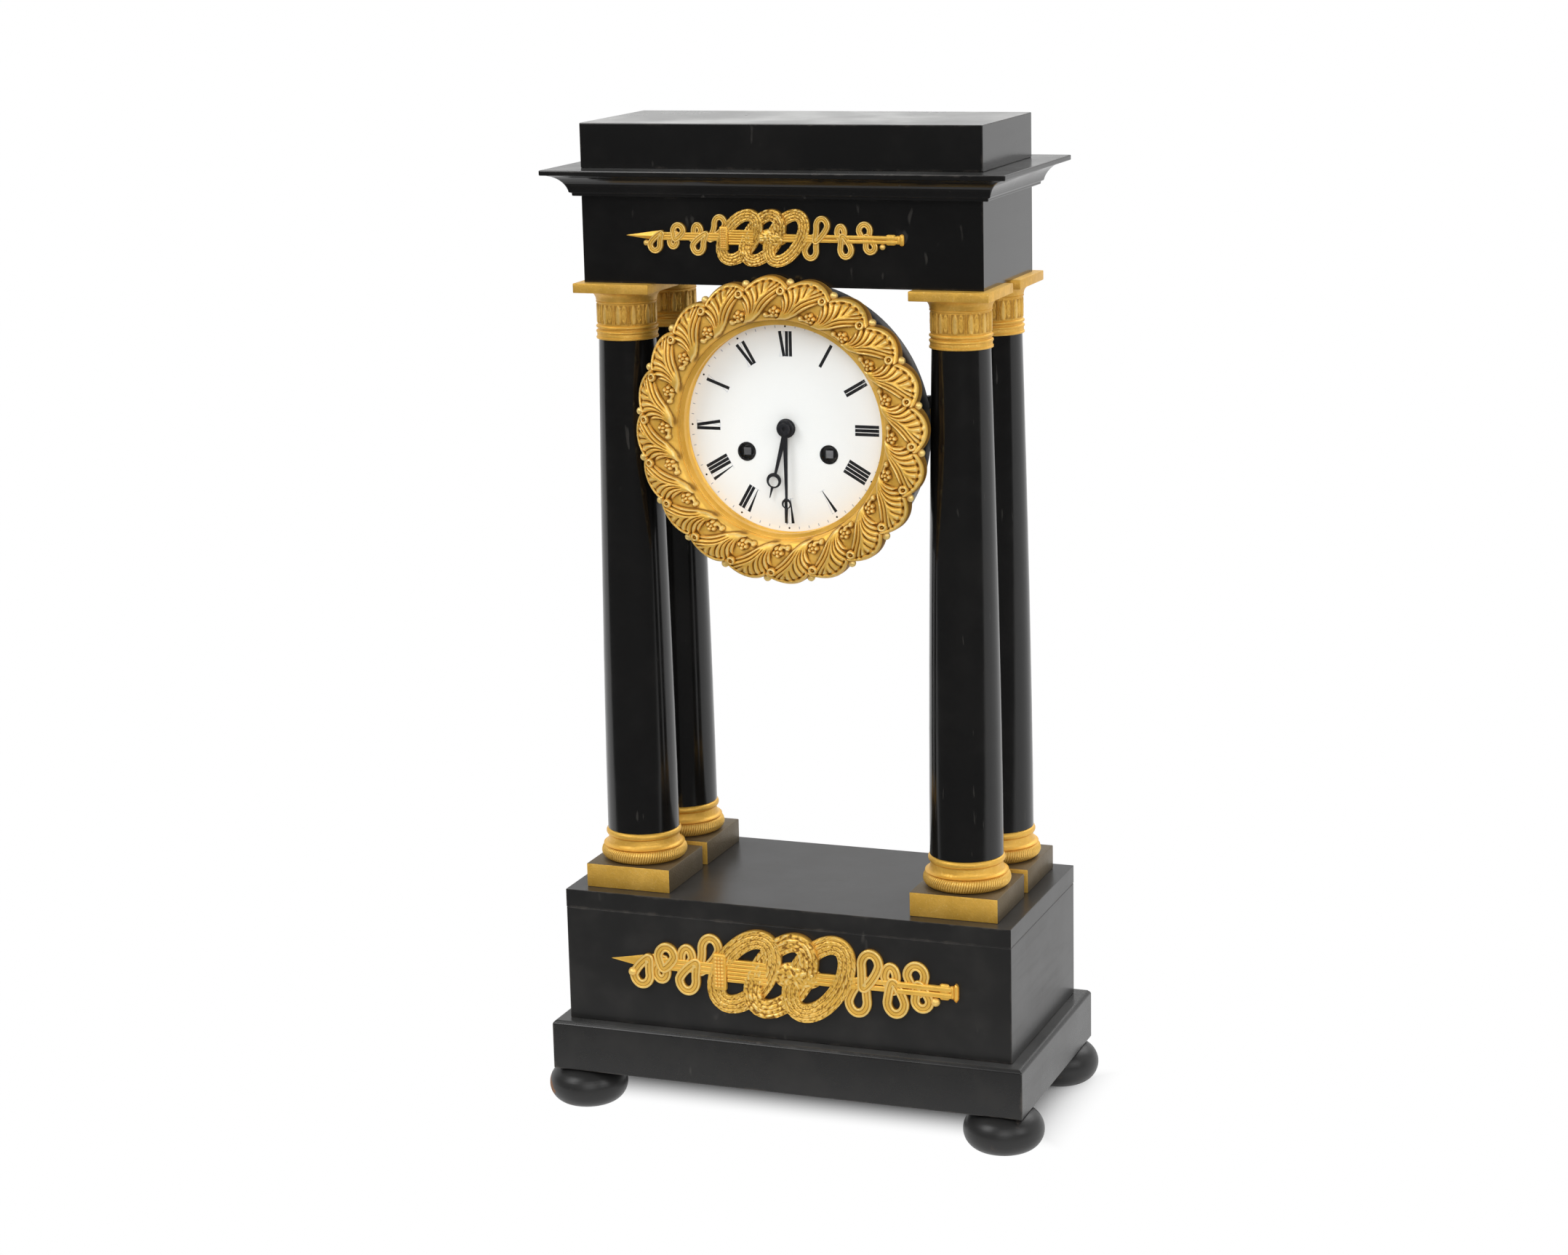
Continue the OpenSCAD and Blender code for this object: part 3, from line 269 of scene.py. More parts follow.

# The case's boards: how scuffed their edges are, how dull the lacquer is and how much dust and painted sheen
# lighten what faces up
BOARDS = {
    "plinth": (1.0, 0.12, 0.09),
    "base_box": (0.7, 0.16, 0.0),
    "base_top_board": (0.8, 0.15, 0.03),
    "frieze_box": (0.4, 0.0, 0.0),
    "cornice": (0.8, 0.03, 0.15),
    "attic": (0.6, 0.02, 0.95),
}


def lacquer(name, box=None, scuffs=1.0, dull=0.0, dust_and_sheen=0.0):
    """Ebonised lacquer with haze, brush drag and scratches.

    On a box the edges are rubbed grey and brown. Dust and a painted sheen lighten what faces up.
    """
    finish = bpy.context.scene.clock_finish
    shade = fresh(name)
    haze = shade.noise(38.0, 4.0, 0.6)
    streak = shade.noise(14.0, 5.0, 0.65, shade.mapped((1.0, 1.0, 14.0)))
    scratch = shade.noise(120.0, 2.0, 0.7, shade.mapped((1.0, 6.0, 0.35), (0.3, 0.5, 0.2)))
    scratch = shade.ease(scratch, 0.68, 0.74)
    black = scaled(finish.lacquer, 1 + 12 * dull)
    colour = shade.mix(shade.ease(haze, 0.40, 0.75), black, scaled(black, 1.55, 1.5, 1.45))
    rough = 0.13 + dull + shade.ease(haze, 0.30, 0.75) * 0.05
    rough = rough + shade.ease(streak, 0.45, 0.75) * 0.04 + scratch * 0.10
    if box is not None:
        inner = []
        for axis, near, far in zip(shade.axes(), *box):
            inner.append((far - near) / 2 - abs(axis - (far + near) / 2))
        # Of the distances to the box's sides, the middle one is small only along its edges
        edge = shade.least(shade.most(inner[0], inner[1]), inner[2])
        edge = shade.most(shade.least(inner[0], inner[1]), edge)
        ragged = edge + (shade.noise(95.0, 5.0, 0.65) - 0.5) * 0.0052
        rubbed = shade.ease(ragged, 0.0008, -0.0008) * (0.5 * scuffs)
        ragged = edge + (shade.noise(46.0, 4.0, 0.7) - 0.5) * 0.0105
        bare = shade.ease(ragged, -0.0020, -0.0034) * scuffs
        colour = shade.mix(rubbed, colour, RUBBED)
        colour = shade.mix(bare, colour, finish.bare_wood)
        rough = rough + rubbed * 0.22 + bare * 0.35
    if dust_and_sheen:
        # Dust, and a painted sheen standing for reflected light, lighten what faces up
        stain = 0.45 + shade.patches(17.0, 5.0, 0.6, 0.38, 0.66) * 0.55
        sheen_and_dust_cover = shade.ease(shade.facing()[2], 0.75, 0.97) * stain * dust_and_sheen
        colour = shade.mix(sheen_and_dust_cover, colour, DUST_AND_SHEEN)
        rough = rough + sheen_and_dust_cover * 0.25
    colour = shade.mix(scratch * 0.35, colour, SCRATCHED)
    ripple = shade.noise(26.0, 2.0, 0.4, shade.mapped((1.0, 1.0, 0.35)))
    normal = shade.bump(ripple + scratch * 0.02, 0.02, 0.004)
    return shade.dress(Base_Color=colour, Roughness=rough, Normal=normal, IOR=1.45)


def gilding(name, hollows=False, grime_and_shade=0.0, blocks_top=None):
    """Matt mercury gilding: grainy with painted glints, warm and dark in the hollows with dirt and painted
    shade, and rubbed bright on what stands proud, part burnish and part painted highlight.

    Grime and painted shade darken what does not face up. Under blocks_top only what faces the front is gilt.
    """
    finish = bpy.context.scene.clock_finish
    shade = fresh(name)
    gold, deep = finish.gilding, finish.gilding_dirt_and_shade
    cloud = shade.noise(55.0, 4.0, 0.6)
    grain = shade.noise(1100.0, 3.0, 0.65)
    spots = shade.patches(210.0, 4.0, 0.7, 0.66, 0.78)
    clouded = shade.ease(cloud, 0.35, 0.70)
    colour = shade.mix(clouded, gold, scaled(gold, 1.12, 1.18, 1.5))
    colour = shade.mix(spots * 0.30, colour, deep)
    rough = 0.40 + clouded * 0.10 + spots * 0.10
    if hollows:
        hollow = shade.attribute("hollow")
        # Dirt and painted shade darken the hollows
        colour = shade.mix(shade.ease(hollow, 0.05, 0.9) * 0.9, colour, deep)
        # What stands proud is rubbed bright: partly burnish, partly painted highlight
        proud = shade.ease(hollow, -0.15, -0.85)
        colour = shade.mix(proud * 0.65, colour, BURNISH_AND_HIGHLIGHT)
        rough = rough - proud * 0.08 + shade.ease(hollow, 0.1, 0.9) * 0.15
    glint = shade.ease(grain, 0.55, 0.75)
    _, backward, upward = shade.facing()
    if grime_and_shade:
        # Grime and painted shade darken, in patches, what does not face up
        patch = shade.patches(90.0, 5.0, 0.7, 0.32, 0.62, 0.45)
        soiled_and_shaded = shade.ease(upward, 0.85, 0.55) * patch * grime_and_shade
        colour = shade.mix(soiled_and_shaded, colour, deep)
        rough = rough + soiled_and_shaded * 0.12
    if blocks_top is not None:
        bare = shade.ease(shade.axes()[2], blocks_top + 0.0004, blocks_top + 0.0002)
        bare = bare * shade.ease(backward, -0.75, -0.5)
        colour = shade.mix(bare * 0.92, colour, finish.bare_bronze)
        glint = glint * (1 - bare)
    colour = shade.mix(glint * 0.35, colour, GLINT)
    normal = shade.bump(grain + cloud * 0.6, 0.34, 0.0006)
    return shade.dress(Base_Color=colour, Roughness=rough - glint * 0.08, Metallic=0.6, Normal=normal)


def metal(name, tint, rough, grain_scale=(1.0, 1.0, 9.0), arbor=None):
    """Brass or steel with tarnish and a grain of fine level lines.

    An arbor on the dial's axis can have a colour of its own.
    """
    shade = fresh(name)
    tarnish = shade.noise(70.0, 5.0, 0.6)
    colour = shade.mix(shade.ease(tarnish, 0.42, 0.80) * 0.5, tint, scaled(tint, 0.55))
    if arbor is not None:
        colour = shade.mix(shade.ease(shade.from_axis(), 0.0024, 0.0021), colour, arbor)
    grain = shade.noise(420.0, 3.0, 0.6, shade.mapped(grain_scale))
    rough = rough + shade.ease(tarnish, 0.4, 0.8) * 0.25 + (grain - 0.5) * 0.12
    normal = shade.bump(grain, 0.08, 0.0003)
    return shade.dress(Base_Color=colour, Roughness=rough, Metallic=1.0, Normal=normal)


def enamel(name, colour):
    """Fired enamel: faint orange peel, a few marks and painted shade greying it towards the rim."""
    shade = fresh(name)
    cloud = shade.noise(45.0, 4.0, 0.55)
    marks = shade.patches(130.0, 5.0, 0.75, 0.70, 0.80)
    # Painted shade greys the enamel towards the rim, with a random cloud of tone
    rim_shade_and_cloud = shade.ease(shade.from_axis(), 0.036, 0.050) * 0.55 + shade.ease(cloud, 0.5, 0.8) * 0.25
    tone = shade.mix(rim_shade_and_cloud, colour, scaled(colour, 0.965))
    tone = shade.mix(marks * 0.10, tone, ENAMEL_MARKS)
    rough = 0.10 + cloud * 0.08 + marks * 0.15
    normal = shade.bump(cloud, 0.02, 0.002)
    return shade.dress(Base_Color=tone, Roughness=rough, Normal=normal, Coat_Weight=0.4, Coat_Roughness=0.05)


def paint(name, colour, rough, worn=0.0):
    """Black paint or bluing with faint wear."""
    shade = fresh(name)
    cloud = shade.noise(160.0, 5.0, 0.65)
    lighter = tuple(min(1.0, channel * 3.0 + 0.012) for channel in colour)
    tone = shade.mix(shade.ease(cloud, 0.5, 0.8) * (0.3 + worn), colour, lighter)
    normal = shade.bump(cloud, 0.05, 0.0004)
    return shade.dress(Base_Color=tone, Roughness=rough + (cloud - 0.5) * 0.2, Normal=normal)


def clear_glass(name):
    """Old glass, which lets the light through to the dial."""
    shade = fresh(name)
    normal = shade.bump(shade.noise(30.0, 2.0, 0.4), 0.01, 0.001)
    shade.dress(Base_Color=(1.0, 1.0, 1.0), Roughness=0.0, IOR=1.20, Normal=normal, Transmission_Weight=1.0)
    clear = shade.out(shade.node("ShaderNodeBsdfTransparent", None, {"Color": (0.97, 0.98, 0.975)}))
    rays = shade.node("ShaderNodeLightPath")
    lit = shade.most(shade.out(rays, "Is Shadow Ray"), shade.out(rays, "Is Diffuse Ray"))
    shade.overlay(lit, clear)
    return shade.owner


def foot_lacquer(name):
    """Lacquer of the turned feet, worn towards the floor and chipped to bare wood on the front left one."""
    finish = bpy.context.scene.clock_finish
    shade = fresh(name)
    across, deep, up = shade.axes()
    corner = BOXES["bun_feet"][0]
    reach = shade.reach(across - corner.x, deep - (corner.y + 0.012))
    reach = reach + abs(up - 0.008) * 1.5 + (shade.noise(220.0, 4.0, 0.7) - 0.5) * 0.011
    chip = shade.ease(reach, 0.0125, 0.0105)
    haze = shade.noise(60.0, 4.0, 0.6)
    worn = shade.ease(shade.noise(75.0, 5.0, 0.7) + shade.ease(up, 0.012, 0.0) * 0.16, 0.62, 0.72)
    colour = shade.mix(worn * 0.5, scaled(finish.lacquer, 2.6), WORN_FOOT)
    colour = shade.mix(chip, colour, finish.bare_wood)
    rough = 0.30 + haze * 0.16 + worn * 0.15 + chip * 0.3
    rings = shade.noise(30.0, 2.0, 0.5, shade.mapped((1.0, 1.0, 22.0)))
    return shade.dress(Base_Color=colour, Roughness=rough, Normal=shade.bump(rings, 0.05, 0.002), IOR=1.46)


def mix_finishes():
    """All finishes, by the name that the pieces ask for."""
    finish = bpy.context.scene.clock_finish
    for name, amounts in BOARDS.items():
        FINISHES[name] = lacquer("lacquer_" + name, BOXES[name], *amounts)
    blocks_top = BOXES["column_bases"][0].z + BLOCK_H * MM
    FINISHES.update(
        lacquer=lacquer("lacquer_turned"),
        foot=foot_lacquer("lacquer_feet"),
        gilt=gilding("gilding_plain"),
        carved=gilding("gilding_carved", True),
        grimy=gilding("gilding_grimy_shaded", True, 0.38),
        grimy_base=gilding("gilding_on_blocks", True, 0.25, blocks_top),
        brass=metal("brass", finish.brass, 0.30),
        centre=metal("brass_on_steel", finish.brass, 0.30, arbor=DARK_STEEL),
        steel=metal("steel", finish.steel, 0.28),
        iron=metal("iron", scaled(finish.steel, 0.45), 0.42),
        bell=metal("bell_metal", BELL_METAL, 0.22, (1.0, 1.0, 1.0)),
        enamel=enamel("enamel", finish.enamel),
        numeral=paint("numeral_black", finish.numeral, 0.30),
        worn=paint("worn_strokes", finish.worn_numeral, 0.40),
        hands=paint("hand_blue", finish.hands, 0.36, 0.2),
        black=paint("black_ring", RING_BLACK, 0.34, 0.25),
        glass=clear_glass("door_glass"),
    )


# Edges in metres, and the angle in degrees from which rounds turn sharp
WELD_DIST = 4e-6
RIM_EDGE = 0.00025
HAND_EDGE = 0.00012
ROUND = 40.0


def wear(nodes, finish, edge=0.0, split=32.0, flat=False):
    """Gives frame nodes their finish, smooth rounds or flat boards, and softened or sharp edges."""
    for name in nodes.split():
        piece = NODES[name]
        piece.data.materials.clear()
        piece.data.materials.append(FINISHES[finish])
        piece.data.polygons.foreach_set("use_smooth", [not flat] * len(piece.data.polygons))
        piece.modifiers.new("Weld", "WELD").merge_threshold = WELD_DIST
        if flat:
            merge = piece.modifiers.new("Boards", "DECIMATE")
            merge.decimate_type = "DISSOLVE"
            merge.angle_limit = math.radians(1.0)
        if edge:
            soften = piece.modifiers.new("Edge", "BEVEL")
            soften.width = edge
            soften.segments = 2
            soften.limit_method = "ANGLE"
            soften.angle_limit = math.radians(split)
            soften.harden_normals = not flat
        else:
            piece.modifiers.new("Sharp", "EDGE_SPLIT").split_angle = math.radians(split)


def new_mould():
    """An empty bmesh, and the layer where its vertices say how hollow they lie."""
    mould = bmesh.new()
    return mould, mould.verts.layers.float.new("hollow")


def mark(mould, verts, hollow):
    """Says how hollow some vertices lie."""
    layer = mould.verts.layers.float["hollow"]
    for vert in verts:
        vert[layer] = hollow


def pick(geometry, kind):
    """The vertices, edges or faces among what an operator gives back."""
    return [item for item in geometry if isinstance(item, kind)]


def add_object(name, data):
    """Puts a new object into the scene."""
    made = bpy.data.objects.new(name, data)
    bpy.context.scene.collection.objects.link(made)
    return made


def cast(mould, name):
    """Turns a bmesh into a smooth object."""
    mesh = bpy.data.meshes.new(name)
    mould.to_mesh(mesh)
    mould.free()
    mesh.shade_smooth()
    return add_object(name, mesh)


def settle(mould, name, finish, body, stands_for=(), sharp=35.0):
    """Turns a bmesh in millimetres into a piece that rides on a body, with one or more finishes."""
    bmesh.ops.scale(mould, vec=(MM, MM, MM), verts=mould.verts)
    piece = cast(mould, name)
    piece.data.set_sharp_from_angle(angle=math.radians(sharp))
    for part in finish.split():
        piece.data.materials.append(FINISHES[part])
    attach(piece, body)
    if stands_for:
        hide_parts(*stands_for)


def chain(mould, points):
    """Edges from point to point; returns their vertices and the edges."""
    verts = [mould.verts.new(point) for point in points]
    return verts, [mould.edges.new(pair) for pair in zip(verts, verts[1:])]


def lathe(mould, profile, steps):
    """Spins a profile of (radius, height) about the upright axis and returns the vertices."""
    verts, edges = chain(mould, [(radius, 0, height) for radius, height in profile])
    bmesh.ops.spin(
        mould, geom=verts + edges, cent=(0, 0, 0), axis=(0, 0, 1), angle=math.tau, steps=steps, use_merge=True
    )
    return mould.verts[:]


def arc(centre, radius, start, end, steps):
    """Points of a quarter round or other arc, for a turned profile; angles in degrees."""
    points = []
    for step in range(steps + 1):
        turn = math.radians(start + (end - start) * step / steps)
        points.append((centre[0] + radius * math.cos(turn), centre[1] + radius * math.sin(turn)))
    return points


def slab(mould, size, centre, soft):
    """A block with softened edges."""
    place = Matrix.Translation(centre) @ Matrix.Diagonal((*size, 1))
    made = bmesh.ops.create_cube(mould, size=1, matrix=place)
    edges = list(dict.fromkeys(edge for vert in made["verts"] for edge in vert.link_edges))
    bmesh.ops.bevel(mould, geom=edges, offset=soft, segments=2, profile=0.5, affect="EDGES", material=-1)


def rod(mould, radius, length, segments, place):
    """A round rod along the z axis of its place."""
    bmesh.ops.create_cone(
        mould, cap_ends=True, segments=segments, radius1=radius, radius2=radius, depth=length, matrix=place
    )


def ball(mould, place, radius):
    """A ball, whose vertices it returns."""
    made = bmesh.ops.create_uvsphere(
        mould, u_segments=14, v_segments=10, radius=radius, matrix=Matrix.Translation(place)
    )
    return made["verts"]


class CLOCK_OT_case(bpy.types.Operator):
    """Lacquers the case, its feet, boards and columns"""

    bl_idname = "clock.case"
    bl_label = "Lacquered case"

    def execute(self, context):
        for board in BOARDS:
            wear(board, board, context.scene.clock_carving.edge, flat=True)
        wear("bun_feet", "foot", split=ROUND)
        wear("column_shafts", "lacquer", split=ROUND)
        wear("tie_rods", "iron")
        return {"FINISHED"}


# Gilt pieces of the columns, in millimetres
ROD_HOLE = 3.4
BLOCK_W, BLOCK_H = 43.8, 11.8
TORUS_R, TUBE_R, TUBE_Z = 21.0, 3.55, 3.6
RING_R = 18.5
ROPES = 104
ABACUS_W, ABACUS_H = 38.6, 4.6
NECK_R = 14.25
BAND_LOW, BAND_HIGH, BAND_STEPS = 7.3, 16.9, 22
BAND_REPEATS = 12


def stand_four(mould, name, node, finish):
    """Settles a copy of a gilt piece on each of the four columns."""
    bmesh.ops.remove_doubles(mould, verts=mould.verts, dist=0.001)
    bmesh.ops.recalc_face_normals(mould, faces=mould.faces)
    for index, place in enumerate(COLUMN_PLACES):
        copy = mould.copy()
        bmesh.ops.translate(copy, vec=(*place, 0), verts=copy.verts)
        settle(copy, f"{name}_{index}", finish, "case", [node])
    mould.free()


class CLOCK_OT_column_bases(bpy.types.Operator):
    """Turns the gilt column bases, with an oblique rope cut round the torus"""

    bl_idname = "clock.column_bases"
    bl_label = "Column bases"

    def execute(self, context):
        low, high = BOXES["column_bases"]
        floor, top = low.z / MM, high.z / MM
        round_z = floor + BLOCK_H
        mould, layer = new_mould()
        profile = [(ROD_HOLE, round_z)]
        profile += arc((TORUS_R - 3.5, round_z + TUBE_Z), TUBE_R, -86, 80, 12)
        profile += [(TORUS_R - 3.3, round_z + 7.35)]
        profile += arc((TORUS_R - 0.9, round_z + 9.9), 2.55, 268, 178, 6)
        profile += [(17.3, round_z + 10.9), (17.3, round_z + 11.7)]
        profile += arc((RING_R - 1.8, round_z + 13.55), 1.85, -80, 80, 7)
        profile += [(16.9, top), (ROD_HOLE, top), (ROD_HOLE, round_z)]
        for vert in lathe(mould, profile, ROPES * 4):
            out = Vector((vert.co.x, vert.co.y, 0))
            lift = (vert.co.z - round_z - TUBE_Z) / TUBE_R
            if out.length > TORUS_R - 3.6 and abs(lift) < 0.86:
                cut = math.cos(ROPES * (math.atan2(out.y, out.x) - lift * 0.045)) * (1 - lift**4)
                vert.co += out.normalized() * (0.22 * cut - 0.1)
                vert[layer] = -0.75 * cut
        slab(mould, (BLOCK_W, BLOCK_W, BLOCK_H), (0, 0, floor + BLOCK_H / 2), 0.45)
        stand_four(mould, "column_base", "column_bases", "grimy_base")
        return {"FINISHED"}


def neck_relief(turn, lift):
    """Height of the cast band on a capital: lancet leaves, eggs and paired bars in turn."""
    part = (turn / math.tau * BAND_REPEATS) % 1.0
    if part < 0.42:
        across = abs(part - 0.21) / 0.21
        width = max(0.02, math.sin(math.pi * min(1.0, 0.12 + lift * 0.88)) ** 0.7)
        leaf = max(0.0, 1 - (across / width) ** 2)
        return 0.42 * math.sqrt(leaf) - (0.14 if across < 0.08 and leaf else 0)
    if part < 0.74:
        across = (part - 0.58) / 0.15
        egg = across**2 + ((lift - 0.52) / 0.40) ** 2
        rim = math.exp(-(((math.sqrt(egg) - 0.9) / 0.16) ** 2))
        return 0.30 * rim + (0.32 * math.sqrt(1 - egg / 0.45) if egg < 0.45 else 0)
    across = abs(abs(part - 0.87) - 0.045) / 0.028
    return 0.34 * max(0.0, 1 - across**2)


class CLOCK_OT_capitals(bpy.types.Operator):
    """Turns the gilt capitals, with a cast band round the neck"""

    bl_idname = "clock.capitals"
    bl_label = "Capitals"

    def execute(self, context):
        low, high = BOXES["column_capitals"]
        floor, top = low.z / MM, high.z / MM
        neck = NECK_R
        flare_z = top - ABACUS_H
        band_low, band_high = floor + BAND_LOW, floor + BAND_HIGH
        mould, layer = new_mould()
        profile = [(ROD_HOLE, floor), (neck + 0.5, floor), (neck + 0.65, floor + 0.15)]
        profile += [(neck + 0.65, floor + 0.8), (neck + 0.25, floor + 1.0), (neck + 0.25, floor + 2.6)]
        profile += arc((neck - 0.05, floor + 3.4), 0.75, -70, 70, 5)
        profile += [(neck - 0.25, floor + 4.3), (neck - 0.3, floor + 4.9)]
        profile += arc((neck - 0.05, floor + 5.8), 0.7, -70, 70, 5)
        profile += [(neck - 0.2, floor + 6.7)]
        for step in range(BAND_STEPS + 1):
            profile.append((neck - 0.1, band_low + (band_high - band_low) * step / BAND_STEPS))
        profile += arc((neck - 0.1, band_high + 0.75), 0.5, -60, 60, 3)
        profile += arc((neck + 4.9, band_high + 1.3), 4.6, 176, 98, 7)
        profile += [(neck + 4.3, flare_z), (ROD_HOLE, flare_z), (ROD_HOLE, floor)]
        for vert in lathe(mould, profile, 264):
            out = Vector((vert.co.x, vert.co.y, 0))
            lift = (vert.co.z - band_low) / (band_high - band_low)
            if 0.001 < lift < 0.999 and neck - 0.5 < out.length < neck + 0.2:
                relief = neck_relief(math.atan2(out.y, out.x), lift)
                vert.co += out.normalized() * relief
                vert[layer] = 0.55 - 2.6 * relief
        slab(mould, (ABACUS_W, ABACUS_W, ABACUS_H), (0, 0, top - ABACUS_H / 2), 0.4)
        stand_four(mould, "capital", "column_capitals", "grimy")
        return {"FINISHED"}


# The bezel, in millimetres and degrees
LOBES = 20
LOBE_TURN = 360.0 / LOBES
FIRST_LOBE = 93.0
BEZEL_R = 73.0
BEZEL_IN = 52.1
BEZEL_BACK = -39.3
LOBE_R = BEZEL_R * math.pi / LOBES * 1.18
LEAF_ACROSS = 60
LEAF_OUT = 70
HINGE_X, HINGE_Y, HINGE_R, HINGE_H = -70.3, -36.8, 1.6, 5.7

# One leaf, from the inner rim out: radius, then the angles of its clockwise edge, midrib and other edge
LEAF_RADII = (52.5, 54.0, 56.0, 58.5, 61.0, 64.0, 67.0, 70.0, 73.5)
LEAF_EDGE = (11.0, 7.2, 4.0, 1.2, -1.4, -4.2, -6.4, -8.2, -9.0)
LEAF_RIB = (14.0, 10.4, 8.0, 5.9, 4.1, 1.9, -0.6, -3.2, -5.0)
LEAF_END = (16.0, 13.2, 12.0, 11.5, 11.2, 10.8, 10.1, 9.2, 8.9)
NEAR_FRONDS, NEAR_SPREAD = 2.3, 0.7
FAR_FRONDS, FAR_SPREAD = 4.2, 3.0
FLOWER = (14.6, 56.6)
PETAL_AWAY = 1.72


def rounded(value):
    """A half-round hump between 0 and 1."""
    return np.sqrt(np.clip(1 - value**2, 0, 1))


def step_up(value, low, high):
    """A smooth step from 0 to 1."""
    part = np.clip((value - low) / (high - low), 0, 1)
    return part * part * (3 - 2 * part)


def rim_radius(turn):
    """Outline of the lobed bezel at an angle from a lobe's middle, in radians."""
    hub = BEZEL_R - LOBE_R
    side = np.clip(LOBE_R**2 - (hub * np.sin(turn)) ** 2, 0, None)
    return hub * np.cos(turn) + np.sqrt(side)


def leaf_relief(angle, radius, edge):
    """Height of one leaf with its fronds, curl and flower.

    The angle is in degrees from the lobe's middle, and edge is the distance in from the lobe's rim.
    """

    def away(at_angle, at_radius):
        return np.hypot(np.radians(angle - at_angle) * radius, radius - at_radius)

    first = np.interp(radius, LEAF_RADII, LEAF_EDGE)
    rib = np.interp(radius, LEAF_RADII, LEAF_RIB)
    last = np.interp(radius, LEAF_RADII, LEAF_END)
    side = np.where(angle < rib, (rib - angle) / (rib - first), (angle - rib) / (last - rib))
    out = (radius - LEAF_RADII[2]) / (LEAF_RADII[7] - LEAF_RADII[2])
    count = np.where(angle < rib, NEAR_FRONDS, FAR_FRONDS)
    spread = np.where(angle < rib, NEAR_SPREAD, FAR_SPREAD)
    phase = count * np.clip(side, 0, 1.3) ** 0.85 - spread * out + 0.35 * np.sin(4.6 * out)
    frond = np.abs(np.cos(math.pi * phase))
    cut = step_up(radius, 55.0, 58.5) * step_up(side, 0.02, 0.14)
    height = (1.40 - 0.50 * side**2) * (1 - 0.62 * cut * (1 - frond**0.8))
    height = height * (1 + 0.13 * cut * np.sin(math.pi * phase + 0.6))
    height = height * step_up(1.0 + 0.26 * cut * (frond - 0.7) - side, 0.0, 0.14)
    height = height * step_up(radius, 52.3, 53.6) * step_up(edge, 0.1, 0.7)
    groove = rounded((edge - 2.4) / 0.5) * step_up(radius, 64.5, 67.0)
    height = height - 0.45 * groove * (np.abs(angle) < 8.0)
    border = rounded((edge - 1.0) / 1.15) * step_up(radius, 65.0, 67.5) * (np.abs(angle) < 8.9)
    height = np.maximum(height, 1.30 * border)

    curl = away(-6.4, 66.7)
    height = np.where(curl < 2.2, 0.25 + 1.25 * rounded((curl - 1.5) / 0.75), height)
    height = np.maximum(height, 1.3 * rounded(curl / 0.62))
    middle = away(*FLOWER)
    height = np.where(middle < 2.9, np.minimum(height, 0.15), height)
    for petal in range(5):
        turn = math.radians(72 * petal + 20)
        spot = away(
            FLOWER[0] + math.degrees(PETAL_AWAY * math.cos(turn) / FLOWER[1]),
            FLOWER[1] + PETAL_AWAY * math.sin(turn),
        )
        height = np.maximum(height, 1.5 * rounded(spot / 1.12))
    height = np.where(middle < 0.98, np.maximum(0.7, 2.0 * rounded(middle / 0.86)), height)
    height = np.maximum(height, 1.35 * rounded(away(19.4, 55.2) / 1.3))
    tendril = rounded((radius - 54.0 - 0.9 * np.sin(np.radians((angle - 13.0) * 14))) / 0.6)
    return np.maximum(height, 0.9 * tendril * step_up(angle, 14.5, 16.0) * step_up(-angle, -20.0, -18.8))


def carve_lobe(leaf_height):
    """Places of one lobe's grid, its heights over the bezel's back and how hollow each point lies."""
    turn = np.radians(np.linspace(-LOBE_TURN / 2, LOBE_TURN / 2, LEAF_ACROSS + 1))[:, None]
    share = np.linspace(0, 1, LEAF_OUT + 1)[None, :]
    rim = rim_radius(turn)
    radius = BEZEL_IN + (rim - BEZEL_IN) * share
    crown = np.sqrt(np.clip(256 - (radius - 61.55) ** 2, 0, None)) - 7.0
    crown = np.minimum(crown, 4.2 + 2.6 * (radius - BEZEL_IN))
    crown = crown - 1.5 * step_up(radius, 66.5, 73.0)
    relief = np.zeros_like(radius)
    degrees = np.degrees(turn) + np.zeros_like(radius)
    for shift in (-1, 0, 1):
        angle = degrees + shift * LOBE_TURN
        own_rim = rim_radius(np.radians(np.clip(angle, -LOBE_TURN / 2, LOBE_TURN / 2)))
        relief = np.maximum(relief, leaf_relief(angle, radius, np.minimum(own_rim, rim) - radius))
    relief = relief * step_up(radius, 52.4, 53.3)
    smooth = relief.copy()
    for _ in range(14):
        wide = np.concatenate([smooth[-2:-1], smooth, smooth[1:2]])
        wide = np.concatenate([wide[:, :1], wide, wide[:, -1:]], axis=1)
        smooth = (wide[:-2, 1:-1] + wide[2:, 1:-1] + wide[1:-1, :-2] + wide[1:-1, 2:]) / 4
    hollow = np.clip((smooth - relief) / 0.40, -1, 1)
    height = crown - 0.75 + relief * (leaf_height / MM / 1.2)
    return turn + np.zeros_like(radius), radius, height, hollow


def on_bezel(angle, radius, height):
    """A point in front of the bezel's back, at an angle in radians about the dial's middle."""
    return radius * math.cos(angle), BEZEL_BACK - height, DIAL_Z + radius * math.sin(angle)


